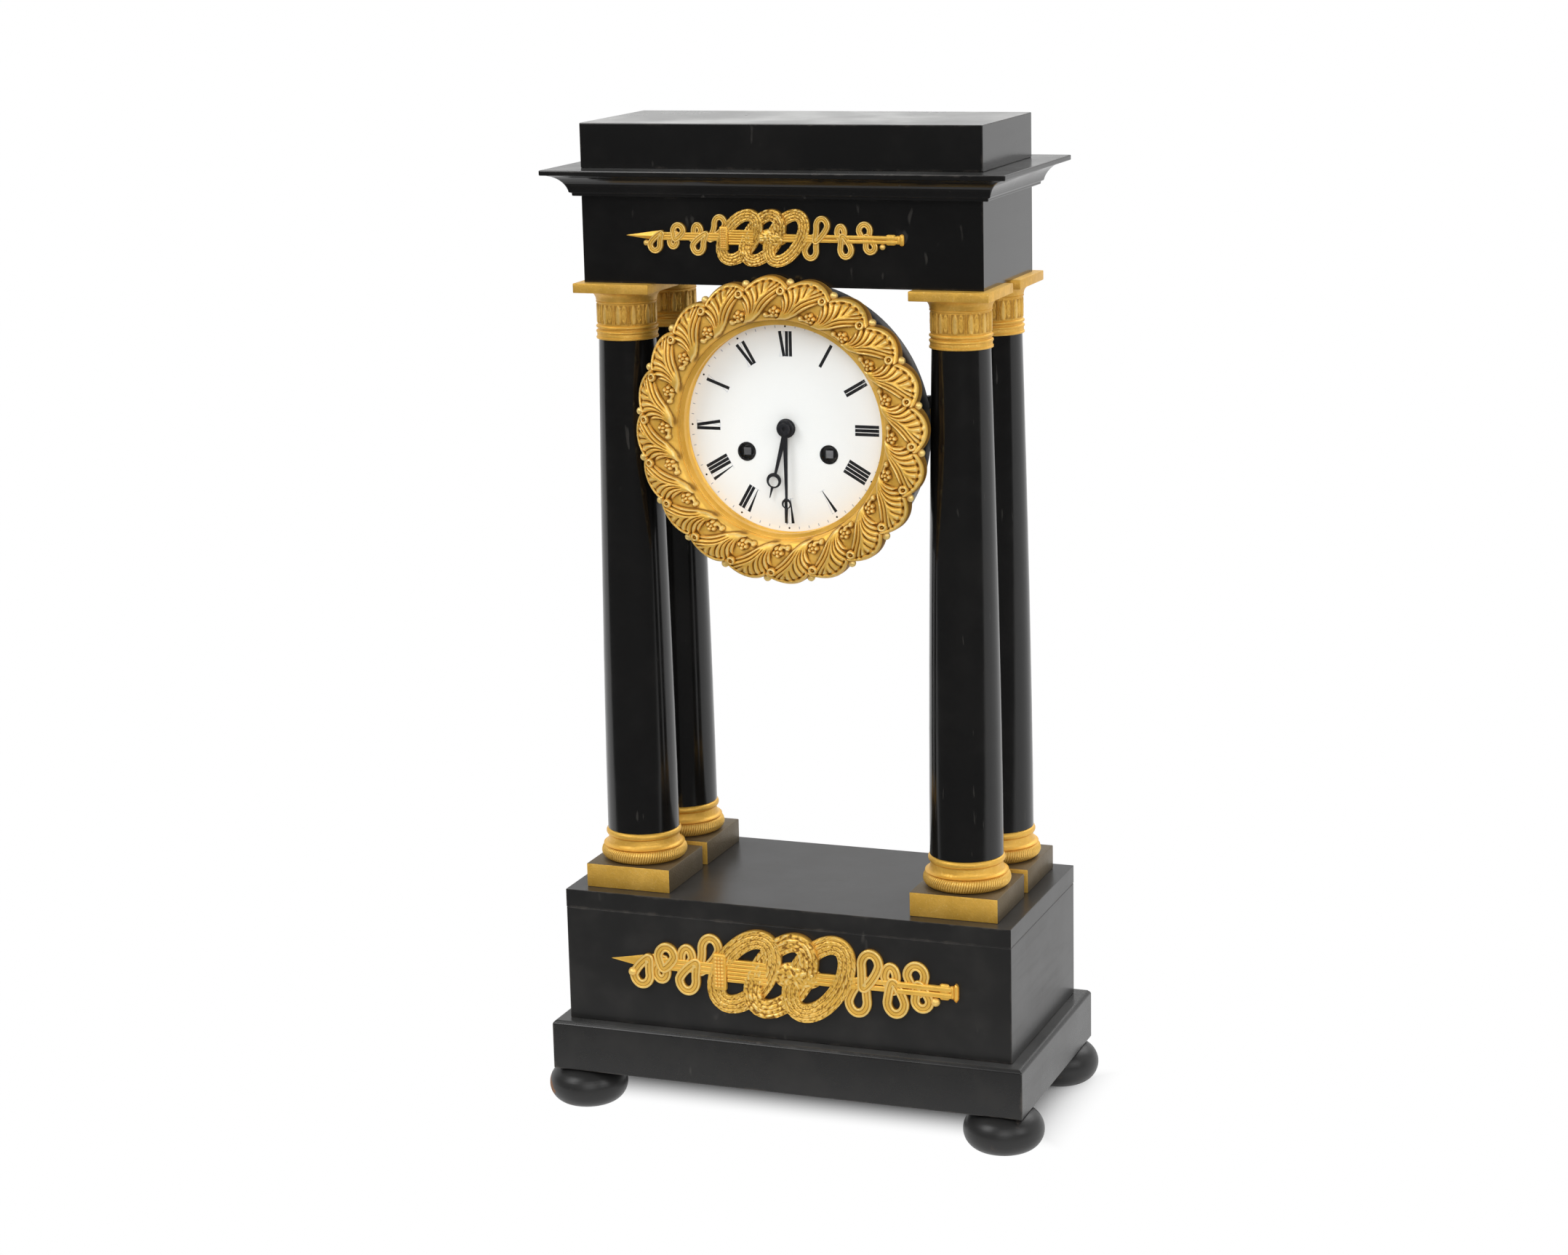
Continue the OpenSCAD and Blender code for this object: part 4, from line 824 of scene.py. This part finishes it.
class CLOCK_OT_bezel(bpy.types.Operator):
    """Carves the bezel's lobes, leaves, flowers and beads"""

    bl_idname = "clock.bezel"
    bl_label = "Carved bezel"

    def execute(self, context):
        carving = context.scene.clock_carving
        turn, radius, height, hollow = carve_lobe(carving.leaf)
        mould, layer = new_mould()
        bmesh.ops.create_grid(mould, x_segments=LEAF_ACROSS, y_segments=LEAF_OUT, size=0.5)
        rows = {}
        for vert in mould.verts:
            i = round((vert.co.x + 0.5) * LEAF_ACROSS)
            j = round((vert.co.y + 0.5) * LEAF_OUT)
            vert.co = on_bezel(turn[i, j] + math.radians(FIRST_LOBE), radius[i, j], height[i, j])
            vert[layer] = hollow[i, j]
            rows[vert] = j
        walls = [edge for edge in mould.edges if {rows[vert] for vert in edge.verts} in ({0}, {LEAF_OUT})]
        pulled = bmesh.ops.extrude_edge_only(mould, edges=walls)["geom"]
        feet = set(pick(pulled, bmesh.types.BMVert))
        for vert in feet:
            vert.co.y = BEZEL_BACK
        mark(mould, feet, 0.5)
        rims = [edge for edge in pick(pulled, bmesh.types.BMEdge) if feet.issuperset(edge.verts)]
        bmesh.ops.bridge_loops(mould, edges=rims)
        angle = math.radians(FIRST_LOBE + LOBE_TURN / 2)
        for reach, deep, size in ((70.2, 5.0, carving.bead / MM), (66.6, 6.6, 0.9)):
            mark(mould, ball(mould, on_bezel(angle, reach, deep), size), -0.7)
        bmesh.ops.spin(
            mould,
            geom=mould.verts[:] + mould.edges[:] + mould.faces[:],
            cent=(0, 0, DIAL_Z),
            axis=(0, 1, 0),
            angle=math.tau * (LOBES - 1) / LOBES,
            steps=LOBES - 1,
            use_duplicate=True,
        )
        bmesh.ops.remove_doubles(mould, verts=mould.verts, dist=0.004)
        knuckle = (2 * HINGE_R, HINGE_Y - BEZEL_BACK + 0.3, HINGE_H)
        slab(mould, knuckle, (HINGE_X, (HINGE_Y + BEZEL_BACK) / 2 - 0.15, DIAL_Z), 0.1)
        rod(mould, HINGE_R, HINGE_H, 24, Matrix.Translation((HINGE_X, HINGE_Y, DIAL_Z)))
        bmesh.ops.recalc_face_normals(mould, faces=mould.faces)
        settle(mould, "carved_bezel", "carved", "bezel_door", ["bezel"], 60.0)
        wear("sight_ring", "gilt")
        wear("bezel_glass", "glass", split=60.0)
        wear("bezel_hinge_pin", "brass")
        return {"FINISHED"}


# What is painted on the dial, in millimetres
NUMERALS = "i ii iii iiii v vi vii viii ix x xi xii".split()
NUMERAL_IN, NUMERAL_OUT = 33.8, 45.6
TICK_IN, TICK_OUT = 47.3, 48.5
HOUR_DOT_R = 0.48
STROKE_W, TICK_W, HAIR_W, SERIF_W = 1.5, 0.40, 0.12, 0.10
PAINT_H, WORN_H, SUNK = 0.04, 0.03, 0.05

# The width of each letter, and its strokes: places across at foot and head, width and taper of the foot
LETTERS = {
    "i": (1.82, ((0.0, 0.0, STROKE_W, 1.0),)),
    "v": (2.9, ((0.1, -1.0, STROKE_W, 0.15), (0.1, 1.2, HAIR_W, 1.0))),
    "x": (3.1, ((1.0, -1.0, STROKE_W, 1.0), (-1.1, 1.1, HAIR_W, 1.0))),
}


def stroke(mould, foot, head, width, taper=1.0):
    """A painted stroke on the dial from foot to head, as a thin plate; all but the broad ones are worn."""
    worn = width < STROKE_W
    proud = WORN_H if worn else PAINT_H
    way, middle = head - foot, (foot + head) / 2
    plate = bmesh.ops.create_cube(mould, size=1)["verts"]
    for vert in plate:
        if vert.co.x < 0:
            vert.co.z *= taper
    place = Matrix.Translation((middle.x, DIAL_FRONT + (SUNK - proud) / 2, DIAL_Z + middle.y))
    turn = Matrix.Rotation(-math.atan2(way.y, way.x), 4, "Y")
    size = Matrix.Diagonal((way.length, SUNK + proud, width, 1))
    bmesh.ops.transform(mould, matrix=place @ turn @ size, verts=plate)
    for face in {face for vert in plate for face in vert.link_faces}:
        face.material_index = int(worn)


def dial_spot(hour, across, radius):
    """A point on the dial: across in millimetres to the reader's right, at a distance from the centre."""
    turn = math.radians(90 - 30 * hour)
    way = Vector((math.cos(turn), math.sin(turn)))
    side = Vector((way.y, -way.x))
    return way * radius + side * across


class CLOCK_OT_dial(bpy.types.Operator):
    """Fires the dial and paints its worn numerals and minute ring"""

    bl_idname = "clock.dial"
    bl_label = "Enamel dial"

    def execute(self, context):
        wear("dial", "enamel", split=ROUND)
        mould = bmesh.new()
        for hour, word in enumerate(NUMERALS, 1):
            half = sum(LETTERS[letter][0] for letter in word) / 2
            cursor = -half
            for letter in word:
                pitch, strokes = LETTERS[letter]
                middle = cursor + pitch / 2
                cursor += pitch
                for foot, head, width, taper in strokes:
                    start = dial_spot(hour, middle + foot, NUMERAL_IN)
                    stroke(mould, start, dial_spot(hour, middle + head, NUMERAL_OUT), width, taper)
            for radius in (NUMERAL_IN, NUMERAL_OUT):
                stroke(mould, dial_spot(hour, -half, radius), dial_spot(hour, half, radius), SERIF_W)
        for minute in range(60):
            hour = minute / 5
            if minute % 5:
                stroke(mould, dial_spot(hour, 0, TICK_IN), dial_spot(hour, 0, TICK_OUT), TICK_W)
            else:
                spot = dial_spot(hour, 0, (TICK_IN + TICK_OUT) / 2)
                place = Matrix.Translation((spot.x, DIAL_FRONT, DIAL_Z + spot.y))
                rod(mould, HOUR_DOT_R, 0.1, 16, place @ Matrix.Rotation(math.pi / 2, 4, "X"))
        bmesh.ops.recalc_face_normals(mould, faces=mould.faces)
        settle(mould, "dial_numerals", "numeral worn", "case")
        wear("winding_grommets", "black", split=ROUND)
        wear("dial_plate", "brass", split=ROUND)
        return {"FINISHED"}


class CLOCK_OT_hands(bpy.types.Operator):
    """Blues the hands and their nut"""

    bl_idname = "clock.hands"
    bl_label = "Hands"

    def execute(self, context):
        wear("hour_hand minute_hand hand_nut", "hands", HAND_EDGE, ROUND)
        return {"FINISHED"}


# Half the section of a ribbon with a raised edge: place across it, height and how hollow it lies
HALF_RIBBON = (
    (-0.5, 0.0, 0.9),
    (-0.5, 0.55, 0.3),
    (-0.46, 0.88, -0.5),
    (-0.36, 1.0, -0.8),
    (-0.26, 0.9, -0.2),
    (-0.2, 0.72, 0.8),
    (-0.1, 0.8, 0.1),
    (0.0, 0.84, -0.2),
)
FLUTES = 4


def ribbon_profile(width, height):
    """Cross-section of a ribbon with raised edges: places across it, heights and how hollow each is."""
    left = [(across * width, up * height, hollow) for across, up, hollow in HALF_RIBBON]
    return left + [(-across, up, hollow) for across, up, hollow in reversed(left[:-1])]


def fluted_profile(width, height):
    """Cross-section of a broad band with rounded ribs between its raised edges."""
    points = [(-width / 2, 0.0, 0.9), (-width / 2, height * 0.5, 0.3)]
    steps = FLUTES * 6
    for step in range(steps + 1):
        share = step / steps
        groove = abs(math.cos(FLUTES * math.pi * share)) ** 4 if 0.02 < share < 0.98 else 0.35
        crown = height * (0.82 + 0.18 * math.sin(math.pi * share)) - 0.24 * height * groove
        points.append(((share - 0.5) * width * 0.98, crown, 1.5 * groove - 0.7))
    return points + [(width / 2, height * 0.5, 0.3), (width / 2, 0.0, 0.9)]


def sweep(mould, path, profile, grain=0.0):
    """Bends a flat strip round a profile and along a closed path of (across, up, lift) on a mount."""
    layer = mould.verts.layers.float["hollow"]
    count, round_about = len(path), len(profile)
    strip = bmesh.ops.create_grid(mould, x_segments=count, y_segments=round_about, size=0.5)["verts"]
    sides = []
    for index in range(count):
        before, after = path[index - 1], path[(index + 1) % count]
        way = Vector((after[0] - before[0], after[1] - before[1])).normalized()
        sides.append(Vector((-way.y, way.x)))
    for vert in strip:
        index = round((vert.co.x + 0.5) * count) % count
        across, height, hollow = profile[round((vert.co.y + 0.5) * round_about) % round_about]
        x, y, lift = path[index]
        spot = Vector((x, y)) + sides[index] * across
        if height:
            height += lift
            if grain and hollow < 0.3:
                pebble = noise.noise(Vector((spot.x, spot.y, 0.4)) * (1.0 / grain))
                height += 0.75 * grain * pebble
                hollow = -2.2 * pebble
        vert.co = (spot.x, spot.y, height)
        vert[layer] = hollow
    bmesh.ops.remove_doubles(mould, verts=strip, dist=0.0005)


def oval(centre, along, across, tilt, lift, count=120):
    """Tilted oval as a path; lift gives the height from the place, measured from the middle."""
    lean = math.radians(tilt)
    points = []
    for step in range(count):
        turn = math.tau * step / count
        x, y = along * math.cos(turn), across * math.sin(turn)
        place = (x * math.cos(lean) - y * math.sin(lean), x * math.sin(lean) + y * math.cos(lean))
        points.append((centre + place[0], place[1], lift(place[0] / along, place[1] / along)))
    return points


# Ribbon loops beside the ovals, from the middle out: share of the wing, three shares of the mount's
# height (middle, half width, half height) and the share of the wing where the loop's tail ends
RIGHT_LOOPS = (
    (-0.01, -0.20, 0.140, 0.170, 0.05),
    (0.12, 0.21, 0.135, 0.165, 0.05),
    (0.32, 0.10, 0.105, 0.150, 0.345),
    (0.375, -0.17, 0.135, 0.165, 0.345),
    (0.575, 0.14, 0.135, 0.150, 0.60),
    (0.64, -0.12, 0.120, 0.130, 0.60),
)
LEFT_LOOPS = (
    (-0.05, 0.21, 0.135, 0.165, 0.06),
    (0.19, -0.15, 0.135, 0.165, 0.10),
    (0.20, 0.09, 0.105, 0.145, 0.26),
    (0.41, 0.085, 0.130, 0.145, 0.44),
    (0.47, -0.09, 0.105, 0.130, 0.44),
    (0.67, -0.14, 0.130, 0.150, 0.60),
)


def drop(centre, half_w, half_h, tail, lift, count=52):
    """A drop-shaped loop as a path, from its round end to a narrow tail past the arrow's shaft."""
    points = []
    for step in range(count):
        turn = math.tau * step / count
        up = math.sin(turn) * math.copysign(1, centre[1])
        down = max(0.0, -up)
        across = centre[0] + (tail[0] - centre[0]) * down**1.5 + half_w * math.cos(turn) * (1 - 0.45 * down)
        height = half_h * up if up > 0 else -(abs(centre[1]) + tail[1]) * down
        points.append((across, centre[1] + height * math.copysign(1, centre[1]), lift))
    return points


def arrow_mount(mould, length, height, thick):
    """The pierced mount: an arrow through ribbons and three linked ovals, drawn flat with its front up."""
    half, middle = length / 2, 0.87 * height
    wing = half - middle
    rib = 0.045 * height
    shaft = (half + 0.3 * middle, rib, 1.25 * thick)
    for ridge in (-1, 0, 1):
        slab(mould, shaft, (0.5 * middle - 0.36 * half, ridge * rib, 0.62 * thick), 0.25 * rib)
    for ridge in (-1, 1):
        for along, size, deep in ((0.12, 0.7, 1.1), (0.66, 0.55, 1.7)):
            spot = (middle + along * wing, ridge * 0.78 * rib, deep / 2 * thick)
            slab(mould, (size * wing, 1.4 * rib, deep * thick), spot, 0.4 * rib)
    for size, tall, deep, back, soft in (
        (0.10, 4.0, 1.5, 0.14, 0.6),
        (0.05, 3.3, 1.3, 0.065, 0.6),
        (0.05, 4.4, 1.4, 0.025, 0.8),
    ):
        spot = (half - back * wing, 0, deep / 2 * thick)
        slab(mould, (size * wing, tall * rib, deep * thick), spot, soft * rib)
    head = 0.135 * length
    turn = Matrix.Translation((head / 2 - half, 0, 0)) @ Matrix.Rotation(-math.pi / 2, 4, "Y")
    flat = Matrix.Diagonal((1.25 * thick, 0.10 * height, 1, 1))
    point = bmesh.ops.create_cone(
        mould, cap_ends=True, segments=4, radius1=1, radius2=0.02, depth=head, matrix=turn @ flat
    )["verts"]
    links = [item for vert in point for group in (vert.link_edges, vert.link_faces) for item in group]
    geom = point + list(dict.fromkeys(links))
    cut = bmesh.ops.bisect_plane(mould, geom=geom, plane_no=(0, 0, -1), clear_outer=True)["geom_cut"]
    bmesh.ops.holes_fill(mould, edges=pick(cut, bmesh.types.BMEdge))
    band = 0.205 * height
    lifts = (
        lambda x, y: 0.45 * thick * (1 + 1.2 * y),
        lambda x, y: 0.45 * thick * (1 + 4.0 * x * y) + 0.1 * thick,
        lambda x, y: 0.45 * thick * (1 - 1.2 * y),
    )
    for order in (-1, 0, 1):
        path = oval(
            0.425 * order * height,
            0.545 * height - band / 2,
            0.345 * height - band / 2,
            54.5 + 1.5 * order,
            lifts[order + 1],
        )
        sweep(mould, path, fluted_profile(band, 1.15 * thick), (0.010 if order else 0.026) * height)
    wide = 0.102 * height
    ribbon = ribbon_profile(wide, 0.95 * thick)
    for side, loops in ((1, RIGHT_LOOPS), (-1, LEFT_LOOPS)):
        for order, (along, up, half_w, half_h, foot) in enumerate(loops):
            centre = (side * (middle + along * wing), up * height)
            tail = (side * (middle + foot * wing), 0.05 * height)
            reach = (1.1 * half_w * height - wide / 2, 1.08 * half_h * height - wide / 2)
            sweep(mould, drop(centre, *reach, tail, (0.15 + 0.4 * (order % 2)) * thick), ribbon)
        berry = (side * (middle + 0.77 * wing), -0.12 * height, 0.8 * thick)
        mark(mould, ball(mould, berry, 0.05 * height), -0.5)
    for row in range(6):
        spot = (-0.39 * height, (row - 2.5) * 0.043 * height, 0.85 * thick)
        slab(mould, (0.46 * height, 0.041 * height, 1.7 * thick), spot, 0.3 * rib)
    swell = Matrix.Diagonal((0.30 * height, 0.155 * height, 2.0 * thick, 1))
    place = Matrix.Translation((0.16 * height, 0, 0)) @ swell
    pad = bmesh.ops.create_uvsphere(mould, u_segments=72, v_segments=40, radius=1, matrix=place)["verts"]
    layer = mould.verts.layers.float["hollow"]
    for vert in pad:
        pebble = noise.noise(Vector((vert.co.x, vert.co.y, 2.0)) * (36.0 / height))
        vert.co.z = max(0.0, vert.co.z + 0.45 * thick * pebble) if vert.co.z > 0.2 else 0.0
        vert[layer] = -2.0 * pebble
    clasp = (-0.70 * height, -0.02 * height)
    slab(mould, (0.15 * height, 0.41 * height, 2.1 * thick), (*clasp, 1.05 * thick), 0.02 * height)
    for row in range(9):
        for column in (-1, 0, 1):
            spot = (clasp[0] + column * 0.036 * height, clasp[1] + (row - 4) * 0.039 * height, 2.1 * thick)
            stud = bmesh.ops.create_icosphere(
                mould, subdivisions=1, radius=0.022 * height, matrix=Matrix.Translation(spot)
            )
            mark(mould, stud["verts"], -0.4)


class CLOCK_OT_mounts(bpy.types.Operator):
    """Chases the gilt mounts of the base and the frieze"""

    bl_idname = "clock.mounts"
    bl_label = "Gilt mounts"

    def execute(self, context):
        thick = context.scene.clock_carving.mount / MM
        for node in ("base_ornament", "frieze_ornament"):
            low, high = BOXES[node]
            middle = (low + high) / 2 / MM
            length, height = (high.x - low.x) / MM, (high.z - low.z) / MM
            mould, _ = new_mould()
            arrow_mount(mould, length, height, thick * (1 if node == "base_ornament" else 0.8))
            turn = Matrix.Rotation(math.pi / 2, 4, "X")
            place = Matrix.Translation((middle.x, high.y / MM, middle.z)) @ turn
            bmesh.ops.transform(mould, matrix=place, verts=mould.verts)
            bmesh.ops.recalc_face_normals(mould, faces=mould.faces)
            settle(mould, node.replace("ornament", "mount"), "carved", "case", [node], 50.0)
        return {"FINISHED"}


class CLOCK_OT_drum(bpy.types.Operator):
    """Finishes the ring, the drum and the back door"""

    bl_idname = "clock.drum"
    bl_label = "Drum and back door"

    def execute(self, context):
        wear("backing_ring rear_ring", "black", RIM_EDGE, ROUND)
        wear("drum", "black", split=ROUND)
        wear("back_door", "brass", RIM_EDGE, ROUND)
        wear("back_hinge_pin", "steel")
        return {"FINISHED"}


MOVEMENT = {
    "brass": "minute_wheel hour_wheel front_plate back_plate going_barrel going_barrel_cap "
    "intermediate_wheel third_wheel escape_wheel back_cock strike_barrel strike_barrel_cap "
    "second_wheel pin_wheel locking_wheel fly bell_stand",
    "steel": "cannon_pinion plate_pillars movement_rods going_mainspring going_arbor going_click "
    "anchor suspension strike_mainspring strike_arbor strike_click hammer",
    "bell": "bell",
    "centre": "centre_wheel",
}


class CLOCK_OT_movement(bpy.types.Operator):
    """Finishes the plates, wheels, arbors and bell of the movement"""

    bl_idname = "clock.movement"
    bl_label = "Movement"

    def execute(self, context):
        for finish, nodes in MOVEMENT.items():
            wear(nodes, finish, split=34.0)
        return {"FINISHED"}


# The stage, in metres and degrees
FLOOR_HALF, SWEEP_Y, SWEEP_R, WALL_TOP = 6.0, 2.2, 1.2, 5.0
LAMPS_AIM = (0, 0, 0.25)
CAMERA_TURN = (20.89, 12.9, -1.33)
CAMERA_PLACE = (0.5472, -1.4773, 0.5985)
FOCAL_PIXELS, PHOTO_PIXELS = 4571.9, 2156


class CLOCK_OT_stage(bpy.types.Operator):
    """Lays the floor and sets the lamps and the camera"""

    bl_idname = "clock.stage"
    bl_label = "Stage"

    def execute(self, context):
        stage = context.scene.clock_stage
        self.lay_floor(stage)
        self.light_sky(context.scene, stage)
        self.hang_lamps(stage)
        self.set_camera(context.scene)
        context.scene.view_settings.view_transform = "Standard"
        return {"FINISHED"}

    def lay_floor(self, stage):
        """A floor that runs back and sweeps up behind, white to the camera apart from the clock's shadow."""
        mould = bmesh.new()
        profile = [(-FLOOR_HALF, 0.0), (SWEEP_Y, 0.0)]
        profile += [(SWEEP_Y + y, z) for y, z in arc((0.0, SWEEP_R), SWEEP_R, -90, 0, 16)[1:]]
        profile += [(SWEEP_Y + SWEEP_R, WALL_TOP)]
        _, edges = chain(mould, [(-FLOOR_HALF, y, z) for y, z in profile])
        made = bmesh.ops.extrude_edge_only(mould, edges=edges)["geom"]
        bmesh.ops.translate(mould, vec=(2 * FLOOR_HALF, 0, 0), verts=pick(made, bmesh.types.BMVert))
        floor = cast(mould, "floor")
        shade = fresh("floor_paper")
        grain = shade.noise(9.0, 3.0, 0.5)
        across, deep, up = shade.axes()
        far = shade.most(shade.ease(0 - deep, 0.006, 0.046), shade.ease(deep, 0.03, 0.07))
        far = shade.most(far, shade.ease(abs(across), 0.100, 0.138))
        front = shade.ease(0 - deep, 0.04, 0.22)
        wall = shade.ease(up, 0.1, 0.8)
        rays = shade.node("ShaderNodeLightPath")
        glossy, through = shade.out(rays, "Is Glossy Ray"), shade.out(rays, "Is Transmission Ray")
        mirrored = shade.most(glossy, through)
        dim = shade.most(shade.ease(0 - deep, 0.32, 0.95), mirrored * front)
        shade.dress(
            Base_Color=shade.mix(dim, stage.floor, scaled(stage.floor, 0.12)),
            Roughness=0.9 + grain * 0.05,
            Specular_IOR_Level=0.0,
        )
        mirrored = mirrored * (1 - front) * (1 - wall * 0.7)
        seen = shade.most(shade.out(rays, "Is Camera Ray"), mirrored)
        # To the camera the floor near the clock is a darker grey, painted to deepen the clock's shadow;
        # further off it is plain white
        near = shade.out(shade.node("ShaderNodeBsdfDiffuse", None, {"Color": (0.6, 0.6, 0.6)}))
        white = {"Color": (1.0, 1.0, 1.0), "Strength": 1.0}
        bright = shade.out(shade.node("ShaderNodeEmission", None, white))
        paper = shade.out(shade.node("ShaderNodeMixShader", None, {0: far, 1: near, 2: bright}))
        shade.overlay(seen, paper)
        floor.data.materials.append(shade.owner)

    def light_sky(self, scene, stage):
        """Soft light from above and behind, dimmer in front; white where the camera looks."""
        world = bpy.data.worlds.new("studio")
        scene.world = world
        shade = Shade(world)
        right, behind, up = shade.split(shade.out(shade.node("ShaderNodeTexCoord"), "Generated"))
        level = 0.70 + shade.ease(behind, -0.35, 0.7) * 0.20 + shade.ease(up, 0.1, 0.9) * 0.45
        level = level + shade.ease(right, 0.2, 0.9) * 0.15
        mirror = 0.20 + shade.ease(behind, -0.1, 0.4) * 0.8
        rays = shade.node("ShaderNodeLightPath")
        mirrored = shade.out(rays, "Is Glossy Ray")
        through = shade.out(rays, "Is Transmission Ray") * shade.ease(behind, -0.1, 0.4)
        seen = shade.most(shade.out(rays, "Is Camera Ray"), through)
        strength = seen + (1 - seen) * (mirrored * mirror + (1 - mirrored) * level * stage.sky)
        background = shade.tree.nodes["Background"]
        background.inputs["Color"].default_value = (1.0, 1.0, 1.0, 1.0)
        shade.join(background.inputs["Strength"], strength)

    def hang_lamps(self, stage):
        """A broad key lamp at the upper left, fills at the right and in front, and one behind."""
        aim = Vector(LAMPS_AIM)
        for name, place, size, power in (
            ("key", (-1.3, -1.5, 1.9), 1.1, stage.key),
            ("fill", (1.9, -0.7, 1.1), 1.0, stage.key * 0.40),
            ("front", (0.9, -2.2, 1.2), 1.4, stage.key * 0.75),
            ("rim", (0.7, 1.6, 1.7), 1.2, stage.key * 0.5),
        ):
            data = bpy.data.lights.new(name, "AREA")
            data.size = size
            data.energy = power
            lamp = add_object(name, data)
            lamp.location = place
            lamp.rotation_euler = (aim - Vector(place)).to_track_quat("-Z", "Y").to_euler()

    def set_camera(self, scene):
        """The photograph's viewpoint: to the right of the front and a little above."""
        azimuth, pitch, roll = (math.radians(angle) for angle in CAMERA_TURN)
        forward = Vector(
            (-math.sin(azimuth) * math.cos(pitch), math.cos(azimuth) * math.cos(pitch), -math.sin(pitch))
        )
        level = Vector((math.cos(azimuth), math.sin(azimuth), 0))
        upright = level.cross(forward)
        right = level * math.cos(roll) + upright * math.sin(roll)
        up = upright * math.cos(roll) - level * math.sin(roll)
        turn = Matrix((right, up, -forward)).transposed()
        data = bpy.data.cameras.new("camera")
        data.sensor_width = 36.0
        data.lens = FOCAL_PIXELS / PHOTO_PIXELS * data.sensor_width
        data.clip_start, data.clip_end = 0.01, 50.0
        camera = add_object("camera", data)
        camera.matrix_world = Matrix.Translation(CAMERA_PLACE) @ turn.to_4x4()
        scene.camera = camera


PIECES = (
    CLOCK_OT_case,
    CLOCK_OT_column_bases,
    CLOCK_OT_capitals,
    CLOCK_OT_drum,
    CLOCK_OT_bezel,
    CLOCK_OT_dial,
    CLOCK_OT_hands,
    CLOCK_OT_mounts,
    CLOCK_OT_movement,
    CLOCK_OT_stage,
)


class CLOCK_PT_panel(bpy.types.Panel):
    """Lists the clock's settings and pieces"""

    bl_idname = "CLOCK_PT_panel"
    bl_label = "Portico clock"
    bl_space_type = "VIEW_3D"
    bl_region_type = "UI"
    bl_category = "Clock"

    def draw(self, context):
        for settings in (context.scene.clock_finish, context.scene.clock_carving, context.scene.clock_stage):
            box = self.layout.box()
            for name in settings.__annotations__:
                box.prop(settings, name)
        for piece in PIECES:
            self.layout.operator(piece.bl_idname)


SETTINGS = {"clock_finish": ClockFinish, "clock_carving": ClockCarving, "clock_stage": ClockStage}


def register():
    for group in SETTINGS.values():
        bpy.utils.register_class(group)
    for name, group in SETTINGS.items():
        setattr(bpy.types.Scene, name, bpy.props.PointerProperty(type=group))
    for item in (*PIECES, CLOCK_PT_panel):
        bpy.utils.register_class(item)


def unregister():
    for item in (CLOCK_PT_panel, *reversed(PIECES)):
        bpy.utils.unregister_class(item)
    for name, group in SETTINGS.items():
        delattr(bpy.types.Scene, name)
        bpy.utils.unregister_class(group)


def main():
    register()
    mix_finishes()
    for piece in PIECES:
        group, name = piece.bl_idname.split(".")
        getattr(getattr(bpy.ops, group), name)()


if __name__ == "__main__":
    main()
